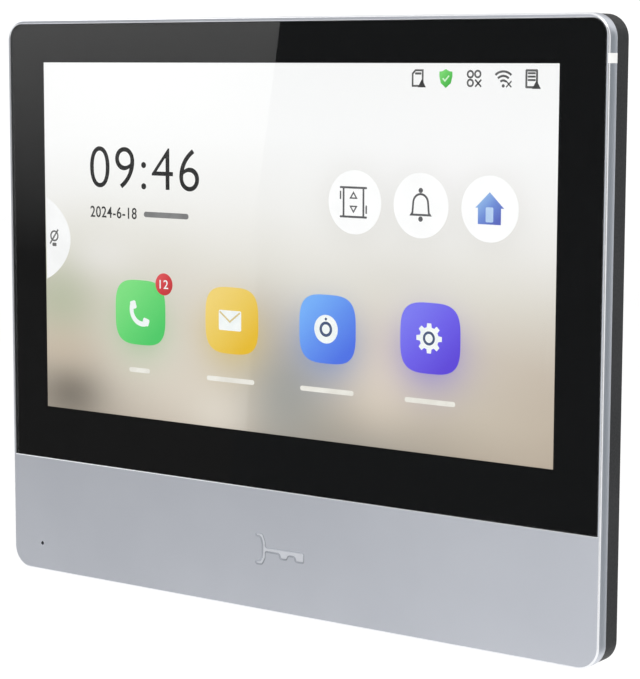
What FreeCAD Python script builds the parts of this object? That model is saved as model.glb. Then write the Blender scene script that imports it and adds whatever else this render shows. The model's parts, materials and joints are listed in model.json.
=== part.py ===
import FreeCAD, Part
import math
import os
import Sketcher

# Wall-mounted video intercom monitor, in millimetres.
# The origin lies on the wall, midway between the two wall-box screws.
# +X is to the viewer's right, +Y goes into the wall and +Z is up.
# A "depth" is measured from the front face towards the wall.

DRIVING_SIZES = [
    ("face_width", 178.1, "whole front, side to side"),
    ("face_height", 145.5, "whole front, bottom to top"),
    ("total_depth", 22.0, "front face to wall"),
    ("frame_depth", 3.5, "depth of the metal frame's side"),
    ("frame_chamfer", 0.6, "polished bevel around the front"),
    ("frame_corner", 5.5, "corner radius of the front"),
    ("frame_wall", 1.2, "side wall of the metal frame"),
    ("frame_shelf", 1.0, "shelf behind the glass"),
    ("panel_height", 30.6, "bare metal below the glass"),
    ("glass_side_rim", 0.8, "metal rim beside the glass"),
    ("glass_top_rim", 1.05, "metal rim above the glass"),
    ("glass_thickness", 1.1, "cover glass"),
    ("glass_corner", 3.8, "radius of the cover glass's upper corners"),
    ("glass_gap", 0.05, "running gap around the glass"),
    ("glass_sink", 0.1, "glass below the frame's face"),
    ("adhesive_thickness", 0.2, "tape behind the glass"),
    ("screen_side_margin", 12.25, "lit area to the side of the front"),
    ("screen_top_margin", 11.0, "lit area to the top of the front"),
    ("screen_low_margin", 13.7, "lit area to the bottom of the glass"),
    ("module_side_border", 5.7, "display module beyond the lit area, sides"),
    ("module_top_border", 3.5, "display module beyond the lit area, top"),
    ("module_low_border", 6.5, "display module beyond the lit area, bottom"),
    ("module_gap", 0.7, "frame opening around the display module"),
    ("gasket_thickness", 0.5, "foam between glass and display"),
    ("display_glass", 1.2, "display panel thickness"),
    ("light_guide_thickness", 2.0, "light guide thickness"),
    ("tray_wall", 0.4, "display tray sheet"),
    ("tray_gap", 0.2, "play inside the display tray"),
    ("plate_thickness", 1.0, "support plate sheet"),
    ("plate_side_gap", 9.0, "support plate to the side of the front"),
    ("plate_boss_top", 4.3, "upper plate screws to the top of the front"),
    ("plate_boss_x", 34.0, "upper plate screws to the side of the front"),
    ("plate_boss_low_x", 29.0, "lower plate screws to the side of the front"),
    ("plate_boss_drop", 4.3, "lower plate screws below the display opening"),
    ("boss_radius", 2.2, "screw boss"),
    ("thread_radius", 1.15, "thread hole in a boss"),
    ("rim_setback", 0.1, "dark rim inside the metal's edge"),
    ("rim_round", 0.3, "rounding of the dark rim's back edge"),
    ("rim_wall", 1.6, "side wall of the dark rim"),
    ("rim_back_wall", 1.2, "back wall of the dark rim"),
    ("box_inset", 12.0, "rear box inside the rim's edge"),
    ("box_corner", 8.0, "rear box corner radius"),
    ("box_wall", 2.0, "rear box wall"),
    ("box_round", 2.0, "rounding of the rear box's back edge"),
    ("bracket_gap", 0.3, "rear cover to the wall plate"),
    ("bracket_thickness", 1.2, "wall plate sheet"),
    ("bracket_width", 106.0, "wall plate width"),
    ("bracket_above", 42.0, "wall plate above the box screws"),
    ("bracket_below", 36.0, "wall plate below the box screws"),
    ("bracket_corner", 5.0, "wall plate corner radius"),
    ("box_screw_spacing", 60.0, "wall-box screw holes"),
    ("box_screw_hole", 2.1, "half width of the wall-box screw slots"),
    ("box_screw_slot", 9.0, "end to end length of the wall-box screw slots"),
    ("hook_spacing", 76.0, "hooks, side to side"),
    ("hook_upper", 30.0, "upper hooks above the box screws"),
    ("hook_lower", 20.0, "lower hooks below the box screws"),
    ("hook_width", 8.0, "width of a hook"),
    ("hook_reach_gap", 0.4, "hook lip behind the rear cover's wall"),
    ("hook_lip", 3.5, "upturned lip above the hook's leg"),
    ("hook_rest_gap", 0.1, "slot edge above the hook's leg"),
    ("hook_play", 0.6, "slot to hook, sideways"),
    ("lift_travel", 5.0, "lift that frees the monitor"),
    ("pocket_wall", 1.0, "moulded wall around a hook slot"),
    ("recess_low", 26.0, "recess bottom below the box screws"),
    ("recess_high", 8.0, "recess top above the box screws"),
    ("recess_wall", 1.5, "recess side wall"),
    ("recess_floor", 1.2, "recess floor"),
    ("recess_floor_gap", 0.7, "support plate to the recess floor"),
    ("window_half", 20.0, "half width of the wall plate's cable window"),
    ("board_thickness", 1.6, "circuit board"),
    ("board_standoff", 2.4, "board above the support plate"),
    ("board_side_gap", 10.0, "board to the rear box's wall"),
    ("board_top_gap", 12.7, "board to the rear box's top wall"),
    ("board_low", 24.0, "board bottom below the box screws"),
    ("board_notch_gap", 0.5, "board cut-out around the recess"),
    ("board_screw_inset", 4.0, "board screws from the board's edge"),
    ("part_gap", 0.2, "clearance between fitted parts"),
    ("socket_width", 16.0, "network socket width"),
    ("socket_height", 11.2, "network socket, front to back"),
    ("socket_length", 16.0, "network socket length"),
    ("socket_centre", 10.0, "network socket left of the middle"),
    ("port_width", 11.8, "network port width"),
    ("port_height", 7.4, "network port, front to back"),
    ("port_length", 13.0, "network port depth"),
    ("terminal_pitch", 3.5, "spacing of the terminals"),
    ("terminal_centre", 12.0, "terminals right of the middle"),
    ("terminal_end", 0.2, "terminal block beyond its outer terminals"),
    ("terminal_side_gap", 1.3, "terminal block to the recess wall"),
    ("terminal_height", 7.0, "terminal block, front to back"),
    ("terminal_length", 8.0, "terminal header length"),
    ("plug_length", 12.5, "terminal plug length"),
    ("speaker_radius", 14.0, "speaker"),
    ("speaker_edge_gap", 2.0, "speaker to the rear box's walls"),
    ("speaker_depth", 4.1, "speaker frame depth"),
    ("speaker_gasket_depth", 0.8, "foam ring behind the grille"),
    ("magnet_radius", 8.0, "speaker magnet"),
    ("magnet_depth", 2.6, "speaker magnet thickness"),
    ("grille_hole", 0.9, "radius of a sound hole"),
    ("mic_side", 10.0, "microphone to the left side of the front"),
    ("mic_low", 7.3, "microphone to the bottom of the front"),
    ("mic_hole", 0.5, "radius of the microphone hole"),
    ("mic_radius", 3.0, "microphone capsule"),
    ("mic_length", 2.5, "microphone capsule length"),
    ("boot_wall", 1.1, "rubber boot around the microphone"),
    ("key_height", 15.5, "unlock symbol above the bottom of the front"),
    ("key_engraving", 0.2, "depth of the unlock symbol"),
    ("key_disc_radius", 6.5, "sensing disc behind the symbol"),
    ("key_disc_thickness", 0.4, "sensing disc thickness"),
    ("key_board_thickness", 1.0, "key board thickness"),
    ("insert_height", 2.2, "antenna break, along the side"),
    ("insert_thickness", 0.75, "antenna break, into the side wall"),
    ("insert_top", 8.7, "antenna break below the top of the front"),
    ("rear_screw_side", 4.8, "rear screws to the side of the front"),
    ("rear_screw_top", 4.8, "upper rear screws to the top of the front"),
    ("rear_screw_low", 22.7, "middle rear screws to the bottom of the front"),
    ("bottom_screw_x", 35.0, "bottom rear screws from the middle"),
    ("bottom_screw_low", 6.2, "bottom rear screws to the bottom of the front"),
    ("rear_boss_radius", 2.2, "frame's bosses for the rear cover screws"),
    ("cover_boss_radius", 3.1, "rear cover's own bosses, around the screw heads"),
    ("boss_split", 4.9, "depth at which the rear cover's bosses meet the frame's"),
    ("head_radius", 2.0, "screw head"),
    ("head_height", 1.2, "screw head height"),
    ("head_sink", 0.1, "rear screw heads below the rim's back"),
    ("shank_radius", 1.1, "screw shank"),
    ("head_gap", 0.2, "counterbore around a screw head"),
    ("wire_radius", 0.6, "internal wires"),
    ("cable_width", 12.0, "flat cable to the display"),
    ("cable_gap", 2.0, "flat cable to the board's cut-out"),
    ("key_connector_gap", 3.5, "middle of the key connector to the board's cut-out"),
]


class Size:
    """A length held as a number and as the spreadsheet expression that gives it."""

    def __init__(self, number, text):
        self.number = number
        self.text = text

    def combined(self, other, sign, number):
        return Size(number, "(%s %s %s)" % (self.text, sign, other.text))

    def __add__(self, other):
        other = as_size(other)
        return self.combined(other, "+", self.number + other.number)

    def __sub__(self, other):
        other = as_size(other)
        return self.combined(other, "-", self.number - other.number)

    def __mul__(self, factor):
        factor = as_size(factor)
        return self.combined(factor, "*", self.number * factor.number)

    def __truediv__(self, divisor):
        divisor = as_size(divisor)
        return self.combined(divisor, "/", self.number / divisor.number)

    def __neg__(self):
        return as_size(0) - self

    def __radd__(self, other):
        return as_size(other) + self

    def __rsub__(self, other):
        return as_size(other) - self


def as_size(value):
    if isinstance(value, Size):
        return value
    return Size(float(value), repr(float(value)))


document = FreeCAD.newDocument("video_intercom_monitor")
sheet = document.addObject("Spreadsheet::Sheet", "Sizes")
for row, (alias, value, meaning) in enumerate(DRIVING_SIZES, start=1):
    sheet.set("A%d" % row, meaning)
    sheet.set("B%d" % row, str(value))
    sheet.setAlias("B%d" % row, alias)
document.recompute()


class DrivingSizes:
    """The spreadsheet's cells, each under its own name."""


size = DrivingSizes()
for alias, value, meaning in DRIVING_SIZES:
    setattr(size, alias, Size(float(sheet.get(alias)), "Sizes." + alias))

node_objects = []


def bind(item, prop, value):
    item.setExpression(prop, as_size(value).text)


def as_node(item, label):
    item.Label = label
    node_objects.append(item)
    return item


# ---------------------------------------------------------------- outlines


def place_point(sketch, curve, point, x, z):
    if x is not None:
        bind(sketch, "Constraints[%d]" % sketch.addConstraint(
            Sketcher.Constraint("DistanceX", curve, point, x.number)), x)
    if z is not None:
        bind(sketch, "Constraints[%d]" % sketch.addConstraint(
            Sketcher.Constraint("DistanceY", curve, point, z.number)), z)


def polygon(points):
    """Straight-sided outline through points of two Sizes each."""
    points = [(as_size(x), as_size(z)) for x, z in points]

    def draw(sketch):
        first = sketch.GeometryCount
        corners = [FreeCAD.Vector(x.number, z.number, 0) for x, z in points]
        count = len(corners)
        for index in range(count):
            sketch.addGeometry(Part.LineSegment(corners[index], corners[(index + 1) % count]), False)
        for index in range(count):
            following = first + (index + 1) % count
            sketch.addConstraint(Sketcher.Constraint("Coincident", first + index, 2, following, 1))
        for index, (x, z) in enumerate(points):
            place_point(sketch, first + index, 1, x, z)

    return draw


def rectangle(left, right, low, high):
    return polygon([(left, low), (right, low), (right, high), (left, high)])


def rounded(left, right, low, high, radius):
    """Rectangle with four equal round corners."""
    left, right, low, high, radius = [as_size(item) for item in (left, right, low, high, radius)]

    def draw(sketch):
        first = sketch.GeometryCount
        x0, x1, z0, z1, r = left.number, right.number, low.number, high.number, radius.number
        sides = [
            ((x0 + r, z0), (x1 - r, z0)),
            ((x1, z0 + r), (x1, z1 - r)),
            ((x1 - r, z1), (x0 + r, z1)),
            ((x0, z1 - r), (x0, z0 + r)),
        ]
        centres = [(x1 - r, z0 + r), (x1 - r, z1 - r), (x0 + r, z1 - r), (x0 + r, z0 + r)]
        for start, end in sides:
            sketch.addGeometry(Part.LineSegment(FreeCAD.Vector(*start, 0), FreeCAD.Vector(*end, 0)), False)
        for index, centre in enumerate(centres):
            circle = Part.Circle(FreeCAD.Vector(*centre, 0), FreeCAD.Vector(0, 0, 1), r)
            turn = (index - 1) * math.pi / 2
            sketch.addGeometry(Part.ArcOfCircle(circle, turn, turn + math.pi / 2), False)
        for index in range(4):
            arc = first + 4 + index
            sketch.addConstraint(Sketcher.Constraint("Tangent", first + index, 2, arc, 1))
            sketch.addConstraint(Sketcher.Constraint("Tangent", arc, 2, first + (index + 1) % 4, 1))
            sketch.addConstraint(Sketcher.Constraint(
                "Horizontal" if index % 2 == 0 else "Vertical", first + index))
            if index:
                sketch.addConstraint(Sketcher.Constraint("Equal", first + 4, arc))
        bind(sketch, "Constraints[%d]" % sketch.addConstraint(
            Sketcher.Constraint("Radius", first + 4, r)), radius)
        place_point(sketch, first, 1, None, low)
        place_point(sketch, first + 2, 1, None, high)
        place_point(sketch, first + 1, 1, right, None)
        place_point(sketch, first + 3, 1, left, None)

    return draw


def arched(left, right, low, high, radius):
    """Rectangle with round upper corners and sharp lower ones."""
    left, right, low, high, radius = [as_size(item) for item in (left, right, low, high, radius)]

    def draw(sketch):
        first = sketch.GeometryCount
        x0, x1, z0, z1, r = left.number, right.number, low.number, high.number, radius.number
        sides = [
            ((x0, z0), (x1, z0)),
            ((x1, z0), (x1, z1 - r)),
            ((x1 - r, z1), (x0 + r, z1)),
            ((x0, z1 - r), (x0, z0)),
        ]
        for start, end in sides:
            sketch.addGeometry(Part.LineSegment(FreeCAD.Vector(*start, 0), FreeCAD.Vector(*end, 0)), False)
        for index, centre in enumerate([(x1 - r, z1 - r), (x0 + r, z1 - r)]):
            circle = Part.Circle(FreeCAD.Vector(*centre, 0), FreeCAD.Vector(0, 0, 1), r)
            turn = index * math.pi / 2
            sketch.addGeometry(Part.ArcOfCircle(circle, turn, turn + math.pi / 2), False)
        bottom, right_side, top, left_side, right_arc, left_arc = range(first, first + 6)
        sketch.addConstraint(Sketcher.Constraint("Coincident", bottom, 2, right_side, 1))
        sketch.addConstraint(Sketcher.Constraint("Coincident", left_side, 2, bottom, 1))
        sketch.addConstraint(Sketcher.Constraint("Tangent", right_side, 2, right_arc, 1))
        sketch.addConstraint(Sketcher.Constraint("Tangent", right_arc, 2, top, 1))
        sketch.addConstraint(Sketcher.Constraint("Tangent", top, 2, left_arc, 1))
        sketch.addConstraint(Sketcher.Constraint("Tangent", left_arc, 2, left_side, 1))
        for level in (bottom, top):
            sketch.addConstraint(Sketcher.Constraint("Horizontal", level))
        for upright in (right_side, left_side):
            sketch.addConstraint(Sketcher.Constraint("Vertical", upright))
        sketch.addConstraint(Sketcher.Constraint("Equal", right_arc, left_arc))
        bind(sketch, "Constraints[%d]" % sketch.addConstraint(
            Sketcher.Constraint("Radius", right_arc, r)), radius)
        place_point(sketch, bottom, 1, None, low)
        place_point(sketch, top, 1, None, high)
        place_point(sketch, right_side, 2, right, None)
        place_point(sketch, left_side, 1, left, None)

    return draw


def circle(x, z, radius):
    x, z, radius = as_size(x), as_size(z), as_size(radius)

    def draw(sketch):
        centre = FreeCAD.Vector(x.number, z.number, 0)
        ring = sketch.addGeometry(Part.Circle(centre, FreeCAD.Vector(0, 0, 1), radius.number), False)
        place_point(sketch, ring, 3, x, z)
        bind(sketch, "Constraints[%d]" % sketch.addConstraint(
            Sketcher.Constraint("Radius", ring, radius.number)), radius)

    return draw


class Plate:
    """A PartDesign body built from outlines parallel to the wall, between two depths."""

    def __init__(self, label):
        self.body = document.addObject("PartDesign::Body", label)
        as_node(self.body, label)
        self.volume = 0.0

    def sketch(self, back, outlines):
        name = "%s_outline_%d" % (self.body.Name, len(self.body.Group))
        sketch = self.body.newObject("Sketcher::SketchObject", name)
        wall_plane = [item for item in self.body.Origin.OriginFeatures if item.Role == "XZ_Plane"][0]
        sketch.AttachmentSupport = [(wall_plane, "")]
        sketch.MapMode = "FlatFace"
        bind(sketch, "AttachmentOffset.Base.z", size.total_depth - back)
        for outline in outlines:
            outline(sketch)
        return sketch

    def finish(self, feature, grows):
        document.recompute()
        volume = self.body.Shape.Volume
        changed = volume > self.volume if grows else volume < self.volume
        if not changed:
            raise ValueError("%s leaves its body's volume as it was" % feature.Name)
        self.volume = volume
        return self

    def pad(self, back, front, *outlines):
        sketch = self.sketch(back, outlines)
        feature = self.body.newObject("PartDesign::Pad", "%s_pad_%d" % (self.body.Name, len(self.body.Group)))
        feature.Profile = sketch
        bind(feature, "Length", as_size(back) - front)
        return self.finish(feature, True)

    def pocket(self, back, front, *outlines):
        sketch = self.sketch(back, outlines)
        name = "%s_pocket_%d" % (self.body.Name, len(self.body.Group))
        feature = self.body.newObject("PartDesign::Pocket", name)
        feature.Profile = sketch
        feature.Reversed = True
        bind(feature, "Length", as_size(back) - front)
        return self.finish(feature, False)

    def soften(self, kind, depth, amount):
        """Round or bevel every edge that lies wholly at one depth."""
        flat = as_size(depth).number - size.total_depth.number
        edges = []
        for index, edge in enumerate(self.body.Shape.Edges, start=1):
            box = edge.BoundBox
            if abs(box.YMin - flat) < 1e-4 and abs(box.YMax - flat) < 1e-4:
                edges.append("Edge%d" % index)
        base = self.body.Tip
        feature = self.body.newObject("PartDesign::" + kind, "%s_%s" % (self.body.Name, kind.lower()))
        feature.Base = (base, edges)
        bind(feature, "Radius" if kind == "Fillet" else "Size", amount)
        return self.finish(feature, False)


# -------------------------------------------------------------- primitives


def box(name, x, depth, z):
    """Block between two values of x, two depths and two heights."""
    item = document.addObject("Part::Box", name)
    spans = [("Length", "x", x), ("Width", "y", (depth[0] - size.total_depth, depth[1] - size.total_depth)),
             ("Height", "z", z)]
    for length, axis, (low, high) in spans:
        bind(item, length, as_size(high) - low)
        bind(item, "Placement.Base." + axis, low)
    return item


def rod(name, x, z, radius, depth):
    """Cylinder square to the wall between two depths."""
    item = document.addObject("Part::Cylinder", name)
    item.Placement = FreeCAD.Placement(FreeCAD.Vector(), FreeCAD.Rotation(FreeCAD.Vector(1, 0, 0), -90))
    bind(item, "Radius", radius)
    bind(item, "Height", as_size(depth[1]) - depth[0])
    bind(item, "Placement.Base.x", x)
    bind(item, "Placement.Base.y", depth[0] - size.total_depth)
    bind(item, "Placement.Base.z", z)
    return item


def upright_rod(name, x, depth, radius, z):
    """Cylinder standing up between two heights."""
    item = document.addObject("Part::Cylinder", name)
    bind(item, "Radius", radius)
    bind(item, "Height", as_size(z[1]) - z[0])
    bind(item, "Placement.Base.x", x)
    bind(item, "Placement.Base.y", depth - size.total_depth)
    bind(item, "Placement.Base.z", z[0])
    return item


def joined(name, pieces):
    item = document.addObject("Part::MultiFuse", name)
    item.Shapes = pieces
    return item


def cut(name, base, tools):
    item = document.addObject("Part::Cut", name)
    item.Base = base
    item.Tool = tools[0] if len(tools) == 1 else joined(name + "_tools", tools)
    return item


def group(label, pieces):
    """Separate solids that share one node."""
    item = document.addObject("Part::Compound", label)
    item.Links = pieces
    return as_node(item, label)


def tube_ring(name, x, z, outer, inner, depth):
    return cut(name, rod(name + "_outer", x, z, outer, depth), [rod(name + "_bore", x, z, inner, depth)])


def screw(name, x, z, head_back, tip, scale=1.0):
    """Pan-head screw driven from the back, with a cross recess in its head."""
    head_radius = size.head_radius * scale
    head_front = head_back - size.head_height
    body = joined(name + "_body", [
        rod(name + "_head", x, z, head_radius, (head_front, head_back)),
        rod(name + "_shank", x, z, size.shank_radius * scale, (tip, head_front)),
    ])
    reach = head_radius * 0.6
    half = head_radius * 0.14
    floor = head_back - size.head_height * 0.6
    return cut(name, body, [
        box(name + "_slot_a", (x - reach, x + reach), (floor, head_back), (z - half, z + half)),
        box(name + "_slot_b", (x - half, x + half), (floor, head_back), (z - reach, z + reach)),
    ])


def wire_run(label, points, radius):
    """Round wire along straight runs joined by arcs tangent to both."""
    path = [FreeCAD.Vector(*[as_size(value).number for value in (x, depth - size.total_depth, z)])
            for x, depth, z in points]
    edges = []
    start = path[0]
    for before, corner, after in zip(path, path[1:], path[2:]):
        run = 0.45 * min(before.distanceToPoint(corner), corner.distanceToPoint(after))
        enter = corner + (before - corner).normalize() * run
        leave = corner + (after - corner).normalize() * run
        turn = (corner - before).getAngle(after - corner)
        middle_way = ((before - corner).normalize() + (after - corner).normalize()).normalize()
        arc_radius = run / math.tan(turn / 2)
        middle = corner + middle_way * (arc_radius / math.cos(turn / 2) - arc_radius)
        edges.append(Part.LineSegment(start, enter).toShape())
        edges.append(Part.Arc(enter, middle, leave).toShape())
        start = leave
    edges.append(Part.LineSegment(start, path[-1]).toShape())
    spine = Part.Wire(edges)
    section = Part.Wire([Part.Circle(path[0], path[1] - path[0], radius.number).toShape()])
    item = document.addObject("Part::Feature", label)
    item.Shape = spine.makePipeShell([section], True, False)
    item.Placement = FreeCAD.Placement()
    expected = math.pi * radius.number ** 2 * spine.Length
    if abs(item.Shape.Volume - expected) > 0.03 * expected:
        raise ValueError(label + " has the wrong volume for its length")
    return as_node(item, label)


# ------------------------------------------------------- shared places

half_width = size.face_width / 2
half_height = size.face_height / 2
left_edge, right_edge = -half_width, half_width
low_edge, top_edge = -half_height, half_height

panel_top = low_edge + size.panel_height
glass_back = size.glass_sink + size.glass_thickness
shelf_front = glass_back + size.adhesive_thickness
shelf_back = shelf_front + size.frame_shelf

screen_left = left_edge + size.screen_side_margin
screen_right = right_edge - size.screen_side_margin
screen_low = panel_top + size.screen_low_margin
screen_top = top_edge - size.screen_top_margin
module_left = screen_left - size.module_side_border
module_right = screen_right + size.module_side_border
module_low = screen_low - size.module_low_border
module_top = screen_top + size.module_top_border

panel_front = glass_back + size.gasket_thickness
guide_front = panel_front + size.display_glass
tray_floor = guide_front + size.light_guide_thickness
tray_back = tray_floor + size.tray_wall
plate_back = tray_back + size.plate_thickness
board_front = plate_back + size.board_standoff
board_back = board_front + size.board_thickness

rim_left, rim_right = left_edge + size.rim_setback, right_edge - size.rim_setback
rim_low, rim_top = low_edge + size.rim_setback, top_edge - size.rim_setback
rim_inner_back = plate_back + size.head_height + size.head_gap
rim_depth = rim_inner_back + size.rim_back_wall
box_left, box_right = rim_left + size.box_inset, rim_right - size.box_inset
box_low, box_top = rim_low + size.box_inset, rim_top - size.box_inset
cavity_left, cavity_right = box_left + size.box_wall, box_right - size.box_wall
cavity_low, cavity_top = box_low + size.box_wall, box_top - size.box_wall

bracket_front = size.total_depth - size.bracket_thickness
cover_back = bracket_front - size.bracket_gap
cover_inner = cover_back - size.box_wall

board_left, board_right = cavity_left + size.board_side_gap, cavity_right - size.board_side_gap
board_low, board_top = -size.board_low, cavity_top - size.board_top_gap
recess_floor_front = plate_back + size.recess_floor_gap
recess_floor_back = recess_floor_front + size.recess_floor
terminal_count = 6
terminal_half = size.terminal_pitch * terminal_count / 2 + size.terminal_end
recess_half = size.terminal_centre + terminal_half + size.terminal_side_gap
recess_outer_half = recess_half + size.recess_wall
recess_outer_top = size.recess_high + size.recess_wall

speaker_x = cavity_right - size.speaker_edge_gap - size.speaker_radius
speaker_z = cavity_low + size.speaker_edge_gap + size.speaker_radius
mic_x = left_edge + size.mic_side
mic_z = low_edge + size.mic_low
key_z = low_edge + size.key_height
insert_high = top_edge - size.insert_top
insert_low = insert_high - size.insert_height
insert_left = half_width - size.insert_thickness

rear_screw_places = []
for side in (-1, 1):
    outer_x = (half_width - size.rear_screw_side) * side
    rear_screw_places.append((outer_x, top_edge - size.rear_screw_top))
    rear_screw_places.append((outer_x, low_edge + size.rear_screw_low))
    rear_screw_places.append((size.bottom_screw_x * side, low_edge + size.bottom_screw_low))

plate_screw_places = []
for side in (-1, 1):
    plate_screw_places.append(((half_width - size.plate_boss_x) * side, top_edge - size.plate_boss_top))
    plate_screw_places.append(((half_width - size.plate_boss_low_x) * side,
                               module_low - size.module_gap - size.plate_boss_drop))

board_screw_places = []
for x in (board_left + size.board_screw_inset, board_right - size.board_screw_inset):
    for z in (board_low + size.board_screw_inset, board_top - size.board_screw_inset):
        board_screw_places.append((x, z))

hook_places = []
for side in (-1, 1):
    for leg_top in (size.hook_upper, -size.hook_lower):
        hook_places.append((size.hook_spacing * side / 2, leg_top))


# ------------------------------------------------------------ front pieces


def make_front_frame():
    frame = Plate("front_frame")
    outer = rounded(left_edge, right_edge, low_edge, top_edge, size.frame_corner)
    frame.pad(size.frame_depth, 0, outer)
    frame.soften("Chamfer", 0, size.frame_chamfer)
    frame.pocket(size.frame_depth, shelf_back, rounded(
        left_edge + size.frame_wall, right_edge - size.frame_wall,
        low_edge + size.frame_wall, top_edge - size.frame_wall, size.frame_corner - size.frame_wall))
    frame.pocket(shelf_front, 0, arched(
        left_edge + size.glass_side_rim, right_edge - size.glass_side_rim,
        panel_top, top_edge - size.glass_top_rim, size.glass_corner))
    frame.pocket(shelf_back, shelf_front, rectangle(
        module_left - size.module_gap, module_right + size.module_gap,
        module_low - size.module_gap, module_top + size.module_gap))
    frame.pad(size.boss_split, shelf_back, *[
        circle(x, z, size.rear_boss_radius) for x, z in rear_screw_places])
    frame.pad(tray_back, shelf_back, *[circle(x, z, size.boss_radius) for x, z in plate_screw_places])
    hole_floor = shelf_front
    frame.pocket(size.boss_split, hole_floor, *[
        circle(x, z, size.thread_radius) for x, z in rear_screw_places])
    frame.pocket(tray_back, hole_floor, *[
        circle(x, z, size.thread_radius) for x, z in plate_screw_places])
    frame.pocket(shelf_back, 0, circle(mic_x, mic_z, size.mic_hole))
    frame.pocket(size.key_engraving, 0, key_symbol())
    frame.pocket(size.frame_depth, size.frame_chamfer, rectangle(
        insert_left, half_width + size.frame_wall, insert_low, insert_high))


def key_symbol():
    """Outline of a plain key: a short bow on the left and a shaft with two teeth."""
    bow_left, bow_right = -7.0, -4.9
    shaft_end = 7.6
    shaft = 0.55
    bow_half = 3.6
    points = [
        (bow_left, bow_half - 0.8), (bow_right - 0.7, bow_half - 0.8), (bow_right - 0.7, 0.8 - bow_half),
        (bow_left, 0.8 - bow_half), (bow_left, -bow_half), (bow_right, -bow_half), (bow_right, -shaft),
        (0.1, -shaft), (0.1, -2.0), (2.8, -2.0), (2.8, -shaft), (4.9, -shaft), (4.9, -2.0),
        (shaft_end, -2.0), (shaft_end, shaft), (bow_right, shaft), (bow_right, bow_half),
        (bow_left, bow_half),
    ]
    return polygon([(x, key_z + z) for x, z in points])


def make_antenna_insert():
    insert = box("antenna_insert", (insert_left, half_width),
                 (size.frame_chamfer, size.frame_depth), (insert_low, insert_high))
    as_node(insert, "antenna_insert")


def make_glass():
    gap = size.glass_gap
    left = left_edge + size.glass_side_rim + gap
    right = right_edge - size.glass_side_rim - gap
    low = panel_top + gap
    high = top_edge - size.glass_top_rim - gap
    outline = arched(left, right, low, high, size.glass_corner - gap)
    opening = rectangle(module_left - size.module_gap, module_right + size.module_gap,
                        module_low - size.module_gap, module_top + size.module_gap)
    Plate("cover_glass").pad(glass_back, size.glass_sink, outline)
    Plate("glass_adhesive").pad(shelf_front, glass_back, outline, opening)


def make_display():
    Plate("display_gasket").pad(
        panel_front, glass_back, rectangle(module_left, module_right, module_low, module_top),
        rectangle(screen_left - 1, screen_right + 1, screen_low - 1, screen_top + 1))
    inner = size.tray_wall + size.tray_gap
    inside = rectangle(module_left + inner, module_right - inner, module_low + inner, module_top - inner)
    Plate("display_panel").pad(guide_front, panel_front, inside)
    Plate("light_guide").pad(tray_floor, guide_front, inside)
    tray = Plate("display_tray")
    tray.pad(tray_back, panel_front, rectangle(module_left, module_right, module_low, module_top))
    wall = size.tray_wall
    tray.pocket(tray_floor, panel_front, rectangle(
        module_left + wall, module_right - wall, module_low + wall, module_top - wall))


def make_support_plate():
    left, right = left_edge + size.plate_side_gap, right_edge - size.plate_side_gap
    low = plate_screw_places[1][1] - size.boss_radius - 1
    high = plate_screw_places[0][1] + size.boss_radius
    plate = Plate("support_plate")
    plate.pad(plate_back, tray_back, rounded(left, right, low, high, size.boss_radius))
    plate.pad(board_front, plate_back, *[circle(x, z, size.boss_radius) for x, z in board_screw_places])
    slot_low = module_low - size.module_gap - 2
    plate.pocket(plate_back, tray_back, rectangle(
        cable_left - 1, cable_right + 1, slot_low, module_low - 0.3))
    plate.pocket(plate_back, tray_back, rectangle(
        right - 9, right + 1, coax_z - 4, coax_z + 4))
    plate.pocket(plate_back, tray_back, *[
        circle(x, z, size.shank_radius + size.head_gap) for x, z in plate_screw_places])
    plate.pocket(board_front, tray_back, *[
        circle(x, z, size.thread_radius) for x, z in board_screw_places])


# ------------------------------------------------------------------ board

beside_recess = recess_outer_half + size.board_notch_gap
cable_left = beside_recess + size.cable_gap
cable_right = cable_left + size.cable_width
coax_z = board_top - 17
key_connector_x = -(beside_recess + size.key_connector_gap)
speaker_connector_x = board_right - 9
mic_connector_x = board_left + 13
connector_depth = 1.7
tamper_x, tamper_z = board_left + 15, board_top - 26
reset_x, reset_z = board_left + 20, board_low + 16
switch_half = 3.0
switch_height = 3.5


def make_board():
    notch = recess_outer_half + size.board_notch_gap
    notch_top = recess_outer_top + size.board_notch_gap
    socket_left = -size.socket_centre - size.socket_width / 2 - size.part_gap
    socket_right = -size.socket_centre + size.socket_width / 2 + size.part_gap
    socket_top = size.recess_high + size.socket_length + size.part_gap
    board = Plate("main_board")
    board.pad(board_back, board_front, rounded(board_left, board_right, board_low, board_top, 1.5))
    board.pocket(board_back, board_front, rectangle(-notch, notch, board_low - 1, notch_top))
    board.pocket(board_back, board_front, rectangle(socket_left, socket_right, notch_top - 1, socket_top))
    board.pocket(board_back, board_front, *[
        circle(x, z, size.shank_radius + size.head_gap) for x, z in board_screw_places])
    group("board_screws", [
        screw("board_screw_%d" % index, x, z, board_back + size.head_height, tray_back + 0.2)
        for index, (x, z) in enumerate(board_screw_places, start=1)])


def make_shields():
    shield_z = (size.recess_high + size.socket_length + 5, board_top - 2)
    shell = box("shield_block", (-22, 22), (board_back, board_back + 2.6), shield_z)
    hollow = box("shield_hollow", (-21.6, 21.6), (board_back, board_back + 2.2),
                 (shield_z[0] + 0.4, shield_z[1] - 0.4))
    as_node(cut("processor_shield", shell, [hollow]), "processor_shield")
    as_node(box("processor", (-7, 7), (board_back, board_back + 1.4),
                (shield_z[0] + 2, shield_z[1] - 2)), "processor")
    as_node(box("radio_module", (board_right - 15, board_right - 3), (board_front - 2.0, board_front),
                (coax_z - 7, coax_z + 7)), "radio_module")


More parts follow.
